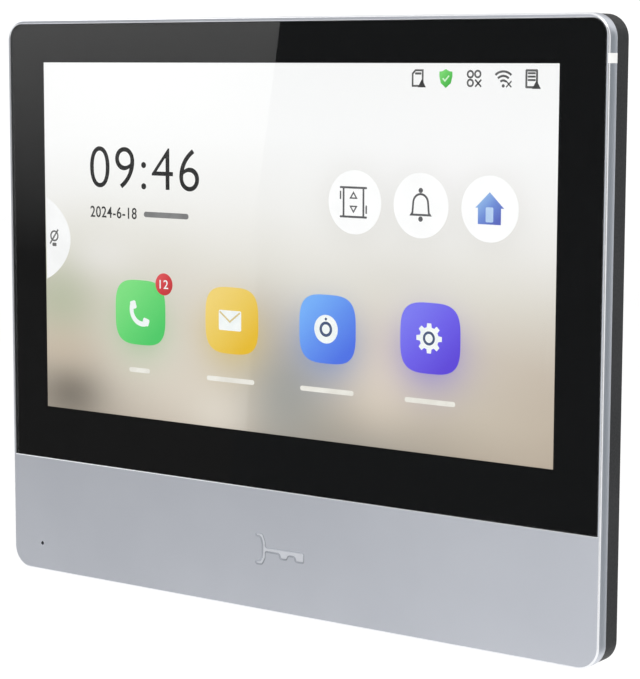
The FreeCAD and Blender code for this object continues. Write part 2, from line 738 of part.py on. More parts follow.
def make_battery():
    cell_x, cell_z = board_right - 14, board_top - 20
    cell_radius = 6.25
    reach = cell_radius + 1.4
    seat = (board_back, board_back + 3.4)
    block = rod("battery_block", cell_x, cell_z, reach, seat)
    well = rod("battery_well", cell_x, cell_z, cell_radius + size.part_gap, (board_back + 1.0, seat[1]))
    as_node(cut("battery_holder", block, [well]), "battery_holder")
    as_node(rod("clock_battery", cell_x, cell_z, cell_radius, (board_back + 1.0, board_back + 3.0)),
            "clock_battery")


def make_network_socket():
    centre = -size.socket_centre
    half = size.socket_width / 2
    socket_back = cover_inner - 0.1
    socket_front = socket_back - size.socket_height
    low, high = size.recess_high, size.recess_high + size.socket_length
    block = box("socket_block", (centre - half, centre + half), (socket_front, socket_back), (low, high))
    port_front = socket_front + 1.6
    port_back = port_front + size.port_height
    port_half = size.port_width / 2
    port = box("socket_port", (centre - port_half, centre + port_half), (port_front, port_back),
               (low - 1, low + size.port_length))
    latch = box("socket_latch", (centre - 3, centre + 3), (port_back - 0.5, port_back + 1.3),
                (low - 1, low + size.port_length))
    as_node(cut("network_socket", block, [port, latch]), "network_socket")
    contacts = []
    for index in range(8):
        x = centre + (index - 3.5) * 1.02
        contacts.append(box("contact_%d" % (index + 1), (x - 0.2, x + 0.2),
                            (port_front, port_front + 0.6), (low + 3, low + size.port_length)))
    group("network_contacts", contacts)


def make_terminals():
    half = terminal_half
    centre = size.terminal_centre
    back = board_back + size.terminal_height
    face = recess_outer_top + size.board_notch_gap + size.part_gap
    header = box("header_block", (centre - half, centre + half), (board_back, back),
                 (face, face + size.terminal_length))
    mouth = box("header_mouth", (centre - half + 0.8, centre + half - 0.8), (board_back + 1.2, back - 1.0),
                (face - 1, face + size.terminal_length - 1.5))
    as_node(cut("terminal_header", header, [mouth]), "terminal_header")
    plug_top = face - size.part_gap
    plug_low = plug_top - size.plug_length
    plug_front = board_back + 0.4
    block = box("plug_block", (centre - half, centre + half), (plug_front, back), (plug_low, plug_top))
    neck = box("plug_neck", (centre - half + 1.0, centre + half - 1.0), (board_back + 1.4, back - 1.2),
               (plug_top, face + size.terminal_length - 1.7))
    tools = []
    screws = []
    for index in range(terminal_count):
        x = centre + size.terminal_pitch * (index - (terminal_count - 1) / 2)
        tools.append(upright_rod("wire_entry_%d" % (index + 1), x, plug_front + 2.2, as_size(1.2),
                                 (plug_low - 1, plug_low + 7)))
        screw_z = plug_low + size.plug_length * 0.6
        tools.append(rod("screw_well_%d" % (index + 1), x, screw_z, 1.35, (back - 2.6, back + 1)))
        body = rod("clamp_screw_body_%d" % (index + 1), x, screw_z, 1.25, (back - 2.6, back - 0.8))
        slot = box("clamp_screw_slot_%d" % (index + 1), (x - 1.3, x + 1.3), (back - 1.5, back),
                   (screw_z - 0.25, screw_z + 0.25))
        screws.append(cut("clamp_screw_%d" % (index + 1), body, [slot]))
    as_node(cut("terminal_plug", joined("plug_body", [block, neck]), tools), "terminal_plug")
    group("terminal_screws", screws)


def make_board_connectors():
    half = 2.6
    front_side = (board_front - connector_depth, board_front)
    low = board_low
    pieces = [
        box("display_connector", (cable_left - 1, cable_right + 1), front_side, (low + 1, low + 5)),
        box("key_connector", (key_connector_x - half, key_connector_x + half), front_side, (low, low + 4)),
        box("mic_connector", (mic_connector_x - half, mic_connector_x + half), front_side, (low, low + 4)),
        box("speaker_connector", (speaker_connector_x - half, speaker_connector_x + half),
            (board_back, board_back + 3.5), (low + 7, low + 11)),
    ]
    group("board_connectors", pieces)


def make_switches():
    bodies = [
        ("tamper_switch", "tamper_plunger", tamper_x, tamper_z, cover_back, 1.75),
        ("reset_switch", "reset_button", reset_x, reset_z, board_back + switch_height + 1.6, 1.6),
    ]
    well_radius = 2.1
    for body_label, plunger_label, x, z, tip, radius in bodies:
        top = board_back + switch_height
        block = box(body_label + "_block", (x - switch_half, x + switch_half), (board_back, top),
                    (z - switch_half, z + switch_half))
        well = rod(body_label + "_well", x, z, well_radius, (top - 2.2, top + 1))
        as_node(cut(body_label, block, [well]), body_label)
        as_node(rod(plunger_label, x, z, radius, (top - 0.7, tip)), plunger_label)


def make_flat_cable():
    thickness = 0.3
    fold_low = module_low - size.module_gap - 1.5
    fold_back = board_front - connector_depth / 2
    start = tray_back - 1.0
    x = (cable_left, cable_right)
    pieces = [
        box("cable_start", x, (start, start + thickness), (fold_low, module_low)),
        box("cable_through", x, (start, fold_back), (fold_low, fold_low + thickness)),
        box("cable_rise", x, (fold_back - thickness, fold_back), (fold_low, board_low + 1)),
    ]
    as_node(joined("display_flat_cable", pieces), "display_flat_cable")


# ------------------------------------------------------- sound, key, radio


def make_speaker():
    ring_back = cover_inner
    ring_front = ring_back - size.speaker_gasket_depth
    frame_front = ring_front - size.speaker_depth
    radius = size.speaker_radius
    wall = 1.2
    as_node(tube_ring("speaker_gasket", speaker_x, speaker_z, radius, radius - 1.6, (ring_front, ring_back)),
            "speaker_gasket")
    shell = rod("basket_block", speaker_x, speaker_z, radius, (frame_front, ring_front))
    hollow = rod("basket_hollow", speaker_x, speaker_z, radius - wall, (frame_front + 1.0, ring_front))
    window = rod("basket_window", speaker_x, speaker_z, size.magnet_radius - 1.5,
                 (frame_front - 1, ring_front))
    as_node(cut("speaker_frame", shell, [hollow, window]), "speaker_frame")
    as_node(rod("speaker_magnet", speaker_x, speaker_z, size.magnet_radius,
                (frame_front - size.magnet_depth, frame_front)), "speaker_magnet")
    cone_front = frame_front + 1.2
    cone_depth = ring_front - cone_front - 0.3
    throat = 5.0
    thickness = 0.5
    cones = []
    for name, drop in (("cone_outer", 0.0), ("cone_inner", thickness)):
        item = document.addObject("Part::Cone", name)
        item.Placement = FreeCAD.Placement(
            FreeCAD.Vector(), FreeCAD.Rotation(FreeCAD.Vector(1, 0, 0), -90))
        bind(item, "Radius1", as_size(throat))
        bind(item, "Radius2", radius - wall - 0.1)
        bind(item, "Height", cone_depth)
        bind(item, "Placement.Base.x", speaker_x)
        bind(item, "Placement.Base.y", cone_front + drop - size.total_depth)
        bind(item, "Placement.Base.z", speaker_z)
        cones.append(item)
    as_node(cut("speaker_cone", cones[0], [cones[1]]), "speaker_cone")
    lead_depth = frame_front - size.magnet_depth / 2
    lead_top = board_low + 7
    wire_run("speaker_leads", [
        (speaker_x, lead_depth, speaker_z + size.magnet_radius),
        (speaker_x, lead_depth, speaker_z + size.magnet_radius + 5),
        (speaker_connector_x, lead_depth, lead_top - 5),
        (speaker_connector_x, lead_depth, lead_top),
    ], size.wire_radius)


def make_microphone():
    outer = size.mic_radius + size.boot_wall
    boot = rod("boot_block", mic_x, mic_z, outer, (shelf_back, rim_inner_back))
    capsule_front = shelf_back + 0.8
    tools = [
        rod("boot_seat", mic_x, mic_z, size.mic_radius + 0.05, (capsule_front, rim_inner_back + 1)),
        rod("boot_port", mic_x, mic_z, size.mic_hole + 0.1, (shelf_back - 1, capsule_front)),
    ]
    as_node(cut("microphone_boot", boot, tools), "microphone_boot")
    as_node(rod("microphone", mic_x, mic_z, size.mic_radius,
                (capsule_front, capsule_front + size.mic_length)), "microphone")
    lead_depth = board_front - connector_depth / 2
    level = plate_screw_places[1][1] - size.boss_radius - 3
    wire_run("microphone_leads", [
        (mic_x, shelf_back + 2.4, mic_z + outer),
        (mic_x, shelf_back + 2.4, mic_z + outer + 7),
        (mic_connector_x - 10, lead_depth, level - 3),
        (mic_connector_x, lead_depth, level),
        (mic_connector_x, lead_depth, board_low),
    ], size.wire_radius)


def make_key_sensor():
    disc_back = shelf_back + size.key_disc_thickness
    board_end = disc_back + size.key_board_thickness
    as_node(rod("key_piezo_disc", 0, key_z, size.key_disc_radius, (shelf_back, disc_back)),
            "key_piezo_disc")
    half_w, half_h = 12, 6
    as_node(box("key_sensor_board", (as_size(-half_w), as_size(half_w)), (disc_back, board_end),
                (key_z - half_h, key_z + half_h)), "key_sensor_board")
    lead_depth = board_front - connector_depth / 2
    level = plate_screw_places[1][1] - size.boss_radius - 3
    start_depth = disc_back + size.key_board_thickness / 2
    wire_run("key_leads", [
        (-8, start_depth, key_z + half_h),
        (-8, start_depth, key_z + half_h + 3),
        (key_connector_x + 10, lead_depth, level - 1),
        (key_connector_x, lead_depth, level + 3),
        (key_connector_x, lead_depth, board_low),
    ], size.wire_radius)


def make_antenna():
    wall_face = rim_right - size.rim_wall
    strip_low, strip_high = insert_low - 25, insert_low - 3
    strip = (size.frame_depth + 0.4, rim_inner_back - 0.2)
    as_node(box("wifi_antenna", (wall_face - 0.8, wall_face), strip, (strip_low, strip_high)),
            "wifi_antenna")
    cable_depth = tray_back + size.wire_radius + size.part_gap
    lead_depth = board_front - 1.0
    plate_edge = right_edge - size.plate_side_gap
    wire_run("antenna_cable", [
        (wall_face - 1.4, cable_depth, strip_low + 1),
        (wall_face - 1.4, cable_depth, coax_z),
        (plate_edge - 4, cable_depth, coax_z - 0.5),
        (board_right + 3, lead_depth, coax_z - 1),
        (board_right - 3, lead_depth, coax_z - 1),
    ], size.wire_radius)


# ------------------------------------------------------------- rear pieces


def hook_slot(x, leg_top):
    half = size.hook_width / 2 + size.hook_play
    low = leg_top - size.bracket_thickness - size.lift_travel - 0.5
    return x - half, x + half, low, leg_top + size.hook_rest_gap


def make_rear_cover():
    cover = Plate("rear_cover")
    cover.pad(rim_depth, size.frame_depth, rounded(
        rim_left, rim_right, rim_low, rim_top, size.frame_corner - size.rim_setback))
    cover.soften("Fillet", rim_depth, size.rim_round)
    cover.pad(cover_back, rim_depth, rounded(box_left, box_right, box_low, box_top, size.box_corner))
    cover.soften("Fillet", cover_back, size.box_round)
    wall = size.rim_wall
    cover.pocket(rim_inner_back, size.frame_depth, rounded(
        rim_left + wall, rim_right - wall, rim_low + wall, rim_top - wall,
        size.frame_corner - size.rim_setback - wall))
    cover.pocket(cover_inner, rim_inner_back, rounded(
        cavity_left, cavity_right, cavity_low, cavity_top, size.box_corner - size.box_wall))
    cover.pad(rim_inner_back, size.boss_split, *[
        circle(x, z, size.cover_boss_radius) for x, z in rear_screw_places])
    half, low, high = recess_outer_half, -size.recess_low - size.recess_wall, recess_outer_top
    cover.pad(cover_inner, recess_floor_front, rectangle(-half, half, low, high))
    cover.pocket(cover_back, recess_floor_back, rectangle(
        -recess_half, recess_half, -size.recess_low, size.recess_high))
    socket_left = -size.socket_centre - size.socket_width / 2 - size.part_gap
    terminal_right = size.terminal_centre + terminal_half + 0.3
    cover.pocket(cover_inner, recess_floor_front, rectangle(
        socket_left, terminal_right, size.recess_high - 0.1, high + 0.1))
    slots = [hook_slot(x, leg_top) for x, leg_top in hook_places]
    pocket_inner = cover_inner - size.hook_reach_gap - size.bracket_thickness - 0.4
    raised = size.hook_lip + 0.6
    wall = size.pocket_wall
    cover.pad(cover_inner, pocket_inner - wall, *[
        rectangle(left - wall, right + wall, low - wall - 0.4, high + raised + wall)
        for left, right, low, high in slots])
    cover.pocket(cover_inner, pocket_inner, *[
        rectangle(left, right, low - 0.4, high + raised) for left, right, low, high in slots])
    cover.pocket(cover_back, cover_inner, *[
        rectangle(left, right, low, high) for left, right, low, high in slots])
    cover.pocket(rim_depth, rim_depth - size.head_height - size.head_sink, *[
        circle(x, z, size.head_radius + size.head_gap) for x, z in rear_screw_places])
    cover.pocket(rim_depth, size.boss_split, *[
        circle(x, z, size.shank_radius + size.head_gap) for x, z in rear_screw_places])
    cover.pocket(cover_back, cover_inner, *grille_outlines())
    cover.pocket(cover_back, cover_inner, *vent_outlines())
    cover.pocket(cover_back, cover_inner, circle(tamper_x, tamper_z, 2.1), circle(reset_x, reset_z, 1.0))


def grille_outlines():
    outlines = [circle(speaker_x, speaker_z, size.grille_hole)]
    for ring in (1, 2, 3):
        for step in range(6 * ring):
            angle = 2 * math.pi * step / (6 * ring)
            x = speaker_x + 3.2 * ring * math.cos(angle)
            z = speaker_z + 3.2 * ring * math.sin(angle)
            outlines.append(circle(x, z, size.grille_hole))
    return outlines


def vent_outlines():
    outlines = []
    top = cavity_top - 4
    for index in range(11):
        x = as_size((index - 5) * 8.0)
        outlines.append(rounded(x - 0.8, x + 0.8, top - 6, top, 0.7))
    return outlines


def make_rear_screws():
    head_back = rim_depth - size.head_sink
    group("rear_cover_screws", [
        screw("rear_screw_%d" % index, x, z, head_back, shelf_front + 0.4)
        for index, (x, z) in enumerate(rear_screw_places, start=1)])
    group("support_plate_screws", [
        screw("plate_screw_%d" % index, x, z, plate_back + size.head_height, shelf_front + 0.4)
        for index, (x, z) in enumerate(plate_screw_places, start=1)])


def make_wall_bracket():
    plate = Plate("wall_bracket")
    half = size.bracket_width / 2
    back, front = size.total_depth, bracket_front
    plate.pad(back, front, rounded(
        -half, half, -size.bracket_below, size.bracket_above, size.bracket_corner))
    window_half = size.window_half
    plate.pocket(back, front, rounded(
        -window_half, window_half, -size.recess_low, size.recess_high, 2.0))
    slots = []
    round_radius = size.box_screw_hole - 0.01
    for side in (-1, 1):
        x = size.box_screw_spacing * side / 2
        reach = size.box_screw_slot / 2
        slots.append(rounded(x - reach, x + reach, -size.box_screw_hole, size.box_screw_hole, round_radius))
    plate.pocket(back, front, *slots)
    hook_half = size.hook_width / 2
    lip_back = cover_inner - size.hook_reach_gap
    lip_front = lip_back - size.bracket_thickness
    legs = []
    lips = []
    relief = []
    for x, leg_top in hook_places:
        leg_low = leg_top - size.bracket_thickness
        legs.append(rectangle(x - hook_half, x + hook_half, leg_low, leg_top))
        lips.append(rectangle(x - hook_half, x + hook_half, leg_low, leg_top + size.hook_lip))
        relief.append(rectangle(x - hook_half, x + hook_half, leg_top, leg_top + size.hook_lip))
    plate.pad(front, lip_front, *legs)
    plate.pad(lip_back, lip_front, *lips)
    plate.pocket(back, front, *relief)


def check_document():
    for item in document.Objects:
        if "Invalid" in item.State or "Error" in item.State:
            raise ValueError("%s failed to build: %s" % (item.Name, item.State))
    for item in node_objects:
        if item.Shape.isNull() or not item.Shape.isValid():
            raise ValueError("%s has no valid shape" % item.Label)


make_front_frame()
make_antenna_insert()
make_glass()
make_display()
make_support_plate()
make_board()
make_shields()
make_battery()
make_network_socket()
make_terminals()
make_board_connectors()
make_switches()
make_flat_cable()
make_speaker()
make_microphone()
make_key_sensor()
make_antenna()
make_rear_cover()
make_rear_screws()
make_wall_bracket()

document.recompute()
check_document()
os.makedirs("parts", exist_ok=True)
for node in node_objects:
    node.Shape.exportStep(os.path.join("parts", node.Label + ".step"))
print("%d nodes written" % len(node_objects))
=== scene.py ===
"""Looks of a wall-hung video intercom monitor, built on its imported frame.

Lengths in this file are millimetres in the frame's own axes: x to the viewer's right, z up, and
depth measured back from the front face. They turn into metres where a mesh is made. The stage,
the lights and the camera, at the end, are in metres throughout.
"""
import json
import math

import bmesh
import bpy
from mathutils import Matrix, Vector


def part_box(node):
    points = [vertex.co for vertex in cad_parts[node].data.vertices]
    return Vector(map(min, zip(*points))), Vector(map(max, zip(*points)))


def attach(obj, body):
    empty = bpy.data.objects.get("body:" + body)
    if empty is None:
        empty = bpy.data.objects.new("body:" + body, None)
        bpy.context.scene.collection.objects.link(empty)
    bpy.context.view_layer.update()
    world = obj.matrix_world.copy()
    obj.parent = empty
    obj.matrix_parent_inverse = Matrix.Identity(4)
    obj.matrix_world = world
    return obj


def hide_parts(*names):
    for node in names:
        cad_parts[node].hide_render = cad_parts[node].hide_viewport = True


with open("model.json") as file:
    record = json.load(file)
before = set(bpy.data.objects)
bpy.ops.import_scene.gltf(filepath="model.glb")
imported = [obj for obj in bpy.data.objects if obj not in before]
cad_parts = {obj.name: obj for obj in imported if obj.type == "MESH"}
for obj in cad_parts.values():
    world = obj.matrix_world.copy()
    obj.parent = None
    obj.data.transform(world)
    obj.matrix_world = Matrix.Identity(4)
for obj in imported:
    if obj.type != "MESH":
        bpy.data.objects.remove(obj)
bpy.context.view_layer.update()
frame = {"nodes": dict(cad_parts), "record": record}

MM = 0.001
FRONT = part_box("front_frame")[0].y / MM
SMOOTH_ANGLE = math.radians(28)
SAME_POINT = 1e-7


def extent(node):
    """Left, right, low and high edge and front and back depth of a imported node."""
    low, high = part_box(node)
    return (low.x / MM, high.x / MM, low.z / MM, high.z / MM,
            low.y / MM - FRONT, high.y / MM - FRONT)


def rgb(red, green, blue):
    """Linear colour from display values of 0 to 255."""
    return tuple(((v / 255 + 0.055) / 1.055) ** 2.4 if v > 10 else v / 3295 for v in (red, green, blue)) + (1.0,)


# ------------ outlines

def cornered(corners, steps):
    """An outline of quarter rounds, each given by its centre, radius and first angle."""
    return [point for cx, cz, radius, start in corners for point in arc(cx, cz, radius, start, start + 90, steps)]


def rounded(left, right, low, high, radius, steps=10):
    """Rounded rectangle, anticlockwise from the lower right corner."""
    return cornered(((right - radius, low + radius, radius, -90), (right - radius, high - radius, radius, 0),
                     (left + radius, high - radius, radius, 90), (left + radius, low + radius, radius, 180)), steps)


def arched(left, right, low, high, radius, foot=0.25, steps=14):
    """A rectangle with round upper corners and nearly sharp lower ones."""
    return cornered(((right - foot, low + foot, foot, -90), (right - radius, high - radius, radius, 0),
                     (left + radius, high - radius, radius, 90), (left + foot, low + foot, foot, 180)), steps)


def disc(cx, cz, radius, steps=40):
    angles = [math.tau * i / steps for i in range(steps)]
    return [(cx + radius * math.cos(a), cz + radius * math.sin(a)) for a in angles]


def moved(points, cx, cz, scale=1.0):
    return [(cx + x * scale, cz + z * scale) for x, z in points]


def turned(points, degrees):
    c, s = math.cos(math.radians(degrees)), math.sin(math.radians(degrees))
    return [(x * c - z * s, x * s + z * c) for x, z in points]


def inset(points, amount):
    """A closed anticlockwise outline moved inwards by amount, with mitred corners."""
    result = []
    count = len(points)
    for i, (x, z) in enumerate(points):
        before, after = points[i - 1], points[(i + 1) % count]
        d1 = Vector((x - before[0], z - before[1])).normalized()
        d2 = Vector((after[0] - x, after[1] - z)).normalized()
        n1, n2 = Vector((-d1.y, d1.x)), Vector((-d2.y, d2.x))
        mitre = n1 + n2
        reach = max(1.0 + n1.dot(n2), 0.25)
        result.append((x + amount * mitre.x / reach, z + amount * mitre.y / reach))
    return result


def hollow(left, right, low, high, radius, width, steps=4):
    """Outer and inner outline of a rounded rectangular line."""
    return [rounded(left, right, low, high, radius, steps),
            rounded(left + width, right - width, low + width, high - width, max(radius - width, 0.08), steps)]


def stroke(points, width):
    """Outline of an open line of that width."""
    sides = ([], [])
    last = len(points) - 1
    for i, point in enumerate(points):
        here = Vector(point)
        d1 = (here - Vector(points[max(i - 1, 0)])).normalized() if i else None
        d2 = (Vector(points[min(i + 1, last)]) - here).normalized() if i < last else None
        d1, d2 = d1 or d2, d2 or d1
        n1, n2 = Vector((-d1.y, d1.x)), Vector((-d2.y, d2.x))
        reach = max(1.0 + n1.dot(n2), 0.4)
        offset = (n1 + n2) * (width / 2 / reach)
        sides[0].append(tuple(here + offset))
        sides[1].append(tuple(here - offset))
    return sides[1] + sides[0][::-1]


def arc(cx, cz, radius, start, end, steps=16):
    angles = [math.radians(start + (end - start) * i / steps) for i in range(steps + 1)]
    return [(cx + radius * math.cos(a), cz + radius * math.sin(a)) for a in angles]


# ------------ solids

class Solid:
    """A mesh made of loops at given depths, the walls between them and flat fills."""

    def __init__(self, name):
        self.name = name
        self.mesh = bmesh.new()
        self.creases = set()

    def loop(self, points, depth):
        verts = [self.mesh.verts.new((x * MM, (FRONT + depth) * MM, z * MM)) for x, z in points]
        for i, v in enumerate(verts):
            self.mesh.edges.new((verts[i - 1], v))
        return verts

    def wall(self, first, second, paint=0):
        for i in range(len(first)):
            face = self.mesh.faces.new((first[i - 1], first[i], second[i], second[i - 1]))
            face.material_index = paint

    def walls(self, loops, paint=0):
        for first, second in zip(loops, loops[1:]):
            self.wall(first, second, paint)

    def fill(self, *loops, paint=0):
        edges = [self.mesh.edges.get((verts[i - 1], v)) for verts in loops for i, v in enumerate(verts)]
        self.creases.update(edges)
        made = bmesh.ops.triangle_fill(self.mesh, edges=edges, use_beauty=True, normal=(0, -1, 0))
        for item in made["geom"]:
            if isinstance(item, bmesh.types.BMFace):
                item.material_index = paint

    def finish(self, *materials):
        bmesh.ops.recalc_face_normals(self.mesh, faces=self.mesh.faces)
        for face in self.mesh.faces:
            face.smooth = True
        for edge in self.mesh.edges:
            edge.smooth = edge not in self.creases and edge.calc_face_angle(math.pi) < SMOOTH_ANGLE
        data = bpy.data.meshes.new(self.name)
        self.mesh.to_mesh(data)
        self.mesh.free()
        return placed(self.name, data, materials)


def placed(name, data, materials=()):
    """A new object of that data, with its materials."""
    for material in materials:
        data.materials.append(material)
    obj = bpy.data.objects.new(name, data)
    bpy.context.scene.collection.objects.link(obj)
    return obj


def from_curve(name, curve, middle, materials):
    """A flat curve or text, drawn in x and z, as a mesh whose mid-plane lies at that depth."""
    temporary = placed(name + "_drawing", curve)
    bpy.context.view_layer.update()
    evaluated = temporary.evaluated_get(bpy.context.evaluated_depsgraph_get())
    data = bpy.data.meshes.new_from_object(evaluated)
    data.name = name
    bpy.data.objects.remove(temporary)
    standing = Matrix.Rotation(math.radians(90), 4, "X")
    shift = Matrix.Translation((0.0, (FRONT + middle) * MM, 0.0))
    data.transform(shift @ standing @ Matrix.Scale(MM, 4))
    work = bmesh.new()
    work.from_mesh(data)
    bmesh.ops.remove_doubles(work, verts=work.verts, dist=SAME_POINT)
    bmesh.ops.recalc_face_normals(work, faces=work.faces)
    work.to_mesh(data)
    work.free()
    data.shade_flat()
    return placed(name, data, materials)


def plate(name, outlines, front, back, materials, edge):
    """A thin plate of those outlines with rounded edges; an outline inside another is a hole."""
    curve = bpy.data.curves.new(name, "CURVE")
    curve.dimensions = "2D"
    curve.fill_mode = "BOTH"
    for points in outlines:
        spline = curve.splines.new("POLY")
        spline.points.add(len(points) - 1)
        for target, (x, z) in zip(spline.points, points):
            target.co = (x, z, 0, 1)
        spline.use_cyclic_u = True
    curve.bevel_depth = edge
    curve.bevel_resolution = 1
    curve.offset = -edge
    curve.extrude = (back - front) / 2 - edge
    obj = from_curve(name, curve, (front + back) / 2, materials)
    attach(obj, "monitor")
    return obj


def digits(name, text, left, right, low, high, front, back, materials, weight):
    """Plain numbers, as a thin plate that fills that rectangle; weight thickens their strokes."""
    curve = bpy.data.curves.new(name, "FONT")
    curve.body = text
    curve.space_character = 1.08
    curve.offset = weight
    curve.extrude = (back - front) / 2
    obj = from_curve(name, curve, (front + back) / 2, materials)
    xs = [v.co.x for v in obj.data.vertices]
    zs = [v.co.z for v in obj.data.vertices]
    for v in obj.data.vertices:
        v.co.x = (left + (right - left) * (v.co.x - min(xs)) / (max(xs) - min(xs))) * MM
        v.co.z = (low + (high - low) * (v.co.z - min(zs)) / (max(zs) - min(zs))) * MM
    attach(obj, "monitor")
    return obj


def stands_for(piece, node):
    """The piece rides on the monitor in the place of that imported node."""
    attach(piece, "monitor")
    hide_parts(node)


# ------------ materials

class Paint:
    """One procedural material: a shader and short calls for the nodes that feed it."""

    SHADER = "ShaderNodeBsdfPrincipled"

    def __init__(self, name, **uniform):
        self.material = bpy.data.materials.new(name)
        self.material.use_nodes = True
        self.nodes = self.material.node_tree.nodes
        self.nodes.clear()
        self.shader = self.nodes.new(self.SHADER)
        output = self.nodes.new("ShaderNodeOutputMaterial")
        self.join(self.shader.outputs[0], output.inputs[0])
        self.place = self.nodes.new("ShaderNodeTexCoord").outputs["Object"]
        for socket, value in uniform.items():
            self.shader.inputs[socket.replace("_", " ")].default_value = value

    def join(self, source, target):
        self.material.node_tree.links.new(source, target)

    def give(self, target, value):
        if isinstance(value, bpy.types.NodeSocket):
            self.join(value, target)
        else:
            target.default_value = value

    def set(self, socket, value):
        self.give(self.shader.inputs[socket], value)

    def math(self, operation, *values):
        node = self.nodes.new("ShaderNodeMath")
        node.operation = operation
        for target, value in zip(node.inputs, values):
            self.give(target, value)
        return node.outputs[0]

    def axes(self):
        node = self.nodes.new("ShaderNodeSeparateXYZ")
        self.join(self.place, node.inputs[0])
        return node.outputs

    def stretched(self, x, y, z):
        node = self.nodes.new("ShaderNodeMapping")
        self.join(self.place, node.inputs["Vector"])
        node.inputs["Scale"].default_value = (x, y, z)
        return node.outputs[0]

    def noise(self, size, detail=2.0, rough=0.5, vector=None):
        """Cloudy noise with features of about that size in mm."""
        node = self.nodes.new("ShaderNodeTexNoise")
        self.join(vector or self.place, node.inputs["Vector"])
        node.inputs["Scale"].default_value = 1 / (size * MM)
        node.inputs["Detail"].default_value = detail
        node.inputs["Roughness"].default_value = rough
        return node.outputs["Fac"]

    def cells(self, size, feature="F1", vector=None):
        node = self.nodes.new("ShaderNodeTexVoronoi")
        node.feature = feature
        self.join(vector or self.place, node.inputs["Vector"])
        node.inputs["Scale"].default_value = 1 / (size * MM)
        return node.outputs["Distance"]

    def range(self, value, low, high, to_low=0.0, to_high=1.0, smooth=False):
        node = self.nodes.new("ShaderNodeMapRange")
        if smooth:
            node.interpolation_type = "SMOOTHSTEP"
        for socket, item in zip(node.inputs, (value, low, high, to_low, to_high)):
            self.give(socket, item)
        return node.outputs[0]

    def ramp(self, value, *stops):
        node = self.nodes.new("ShaderNodeValToRGB")
        self.give(node.inputs[0], value)
        while len(node.color_ramp.elements) < len(stops):
            node.color_ramp.elements.new(0.5)
        for element, (where, colour) in zip(node.color_ramp.elements, stops):
            element.position = where
            element.color = colour
        return node.outputs[0]

    def blend(self, amount, first, second, kind="MIX"):
        node = self.nodes.new("ShaderNodeMix")
        node.data_type = "RGBA"
        node.blend_type = kind
        self.give(node.inputs["Factor"], amount)
        self.give(node.inputs[6], first)
        self.give(node.inputs[7], second)
        return node.outputs[2]

    def bump(self, height, strength, depth=0.02):
        """Surface relief: depth in mm."""
        node = self.nodes.new("ShaderNodeBump")
        node.inputs["Strength"].default_value = strength
        node.inputs["Distance"].default_value = depth * MM
        self.join(height, node.inputs["Height"])
        self.join(node.outputs[0], self.shader.inputs["Normal"])

    def blob(self, x, z, wide, high):
        """1 at (x, z), falling softly to 0 over that width and height, in mm."""
        axes = self.axes()
        across = self.math("MULTIPLY", self.math("SUBTRACT", axes[0], x * MM), 1 / (wide * MM))
        upward = self.math("MULTIPLY", self.math("SUBTRACT", axes[2], z * MM), 1 / (high * MM))
        square = self.math("ADD", self.math("MULTIPLY", across, across), self.math("MULTIPLY", upward, upward))
        return self.math("EXPONENT", self.math("MULTIPLY", square, -1.0))


class Glow(Paint):
    """A material that only gives light."""

    SHADER = "ShaderNodeEmission"


def plain(name, colour, second, rough, grain, relief, patch=6.0, metallic=0.0):
    """A moulded or metal finish: two close colours in soft patches, and grain in gloss and relief."""
    paint = Paint(name, Metallic=metallic)
    cloud = paint.noise(patch, 4.0, 0.6)
    paint.set("Base Color", paint.blend(paint.range(cloud, 0.3, 0.7), colour, second))
    fine = paint.noise(grain, 3.0, 0.6)
    paint.set("Roughness", paint.range(fine, 0.25, 0.75, rough - 0.08, rough + 0.08))
    paint.bump(fine, 0.6, relief)
    return paint


def drawn(name, colour, second, rough, streak, along):
    """Rolled or brushed metal: noise drawn out along one axis."""
    paint = Paint(name, Metallic=1.0)
    scale = [1.0, 1.0, 1.0]
    scale["xyz".index(along)] = 0.03
    lines = paint.noise(streak, 3.0, 0.6, paint.stretched(*scale))
    cloud = paint.noise(14.0, 3.0, 0.6)
    paint.set("Base Color", paint.blend(paint.range(paint.math("ADD", lines, cloud), 0.7, 1.3), colour, second))
    paint.set("Roughness", paint.range(lines, 0.3, 0.7, rough - 0.08, rough + 0.08))
    paint.bump(lines, 0.5, 0.01)
    return paint


def aluminium(name, colour, second, rough, grain, relief, cloud=None, stretch=None, strength=0.3):
    """Bare aluminium: grain in gloss and relief, and two close colours that follow it or a cloud."""
    paint = Paint(name, Metallic=1.0)
    fine = paint.noise(*grain, paint.stretched(*stretch) if stretch else None)
    tone = paint.noise(*cloud) if cloud else fine
    paint.set("Base Color", paint.blend(paint.range(tone, 0.35, 0.65), colour, second))
    paint.set("Roughness", paint.range(fine, 0.3, 0.7, *rough))
    paint.bump(fine, strength, relief)
    return paint.material


def circuit_board():
    """Solder resist over traces, with tinned pads and holes."""
    paint = Paint("circuit_board", Metallic=0.0, Coat_Weight=0.5, Coat_Roughness=0.15)
    tracks = paint.cells(2.2, "DISTANCE_TO_EDGE", paint.stretched(1.0, 0.0, 1.0))
    pads = paint.cells(3.1, "F1", paint.stretched(1.0, 0.0, 1.0))
    cloud = paint.noise(5.0, 4.0, 0.6)
    base = paint.blend(paint.range(cloud, 0.3, 0.7), (0.012, 0.085, 0.040, 1), (0.016, 0.110, 0.052, 1))
    with_tracks = paint.blend(paint.range(tracks, 0.05, 0.08, 1.0, 0.0), base, (0.035, 0.190, 0.085, 1))
    on_pad = paint.range(pads, 0.10, 0.13, 1.0, 0.0)
    paint.set("Base Color", paint.blend(on_pad, with_tracks, (0.72, 0.70, 0.64, 1)))
    paint.set("Metallic", on_pad)
    paint.set("Roughness", paint.range(cloud, 0.3, 0.7, 0.30, 0.42))
    paint.bump(tracks, 0.4, 0.03)
    return paint


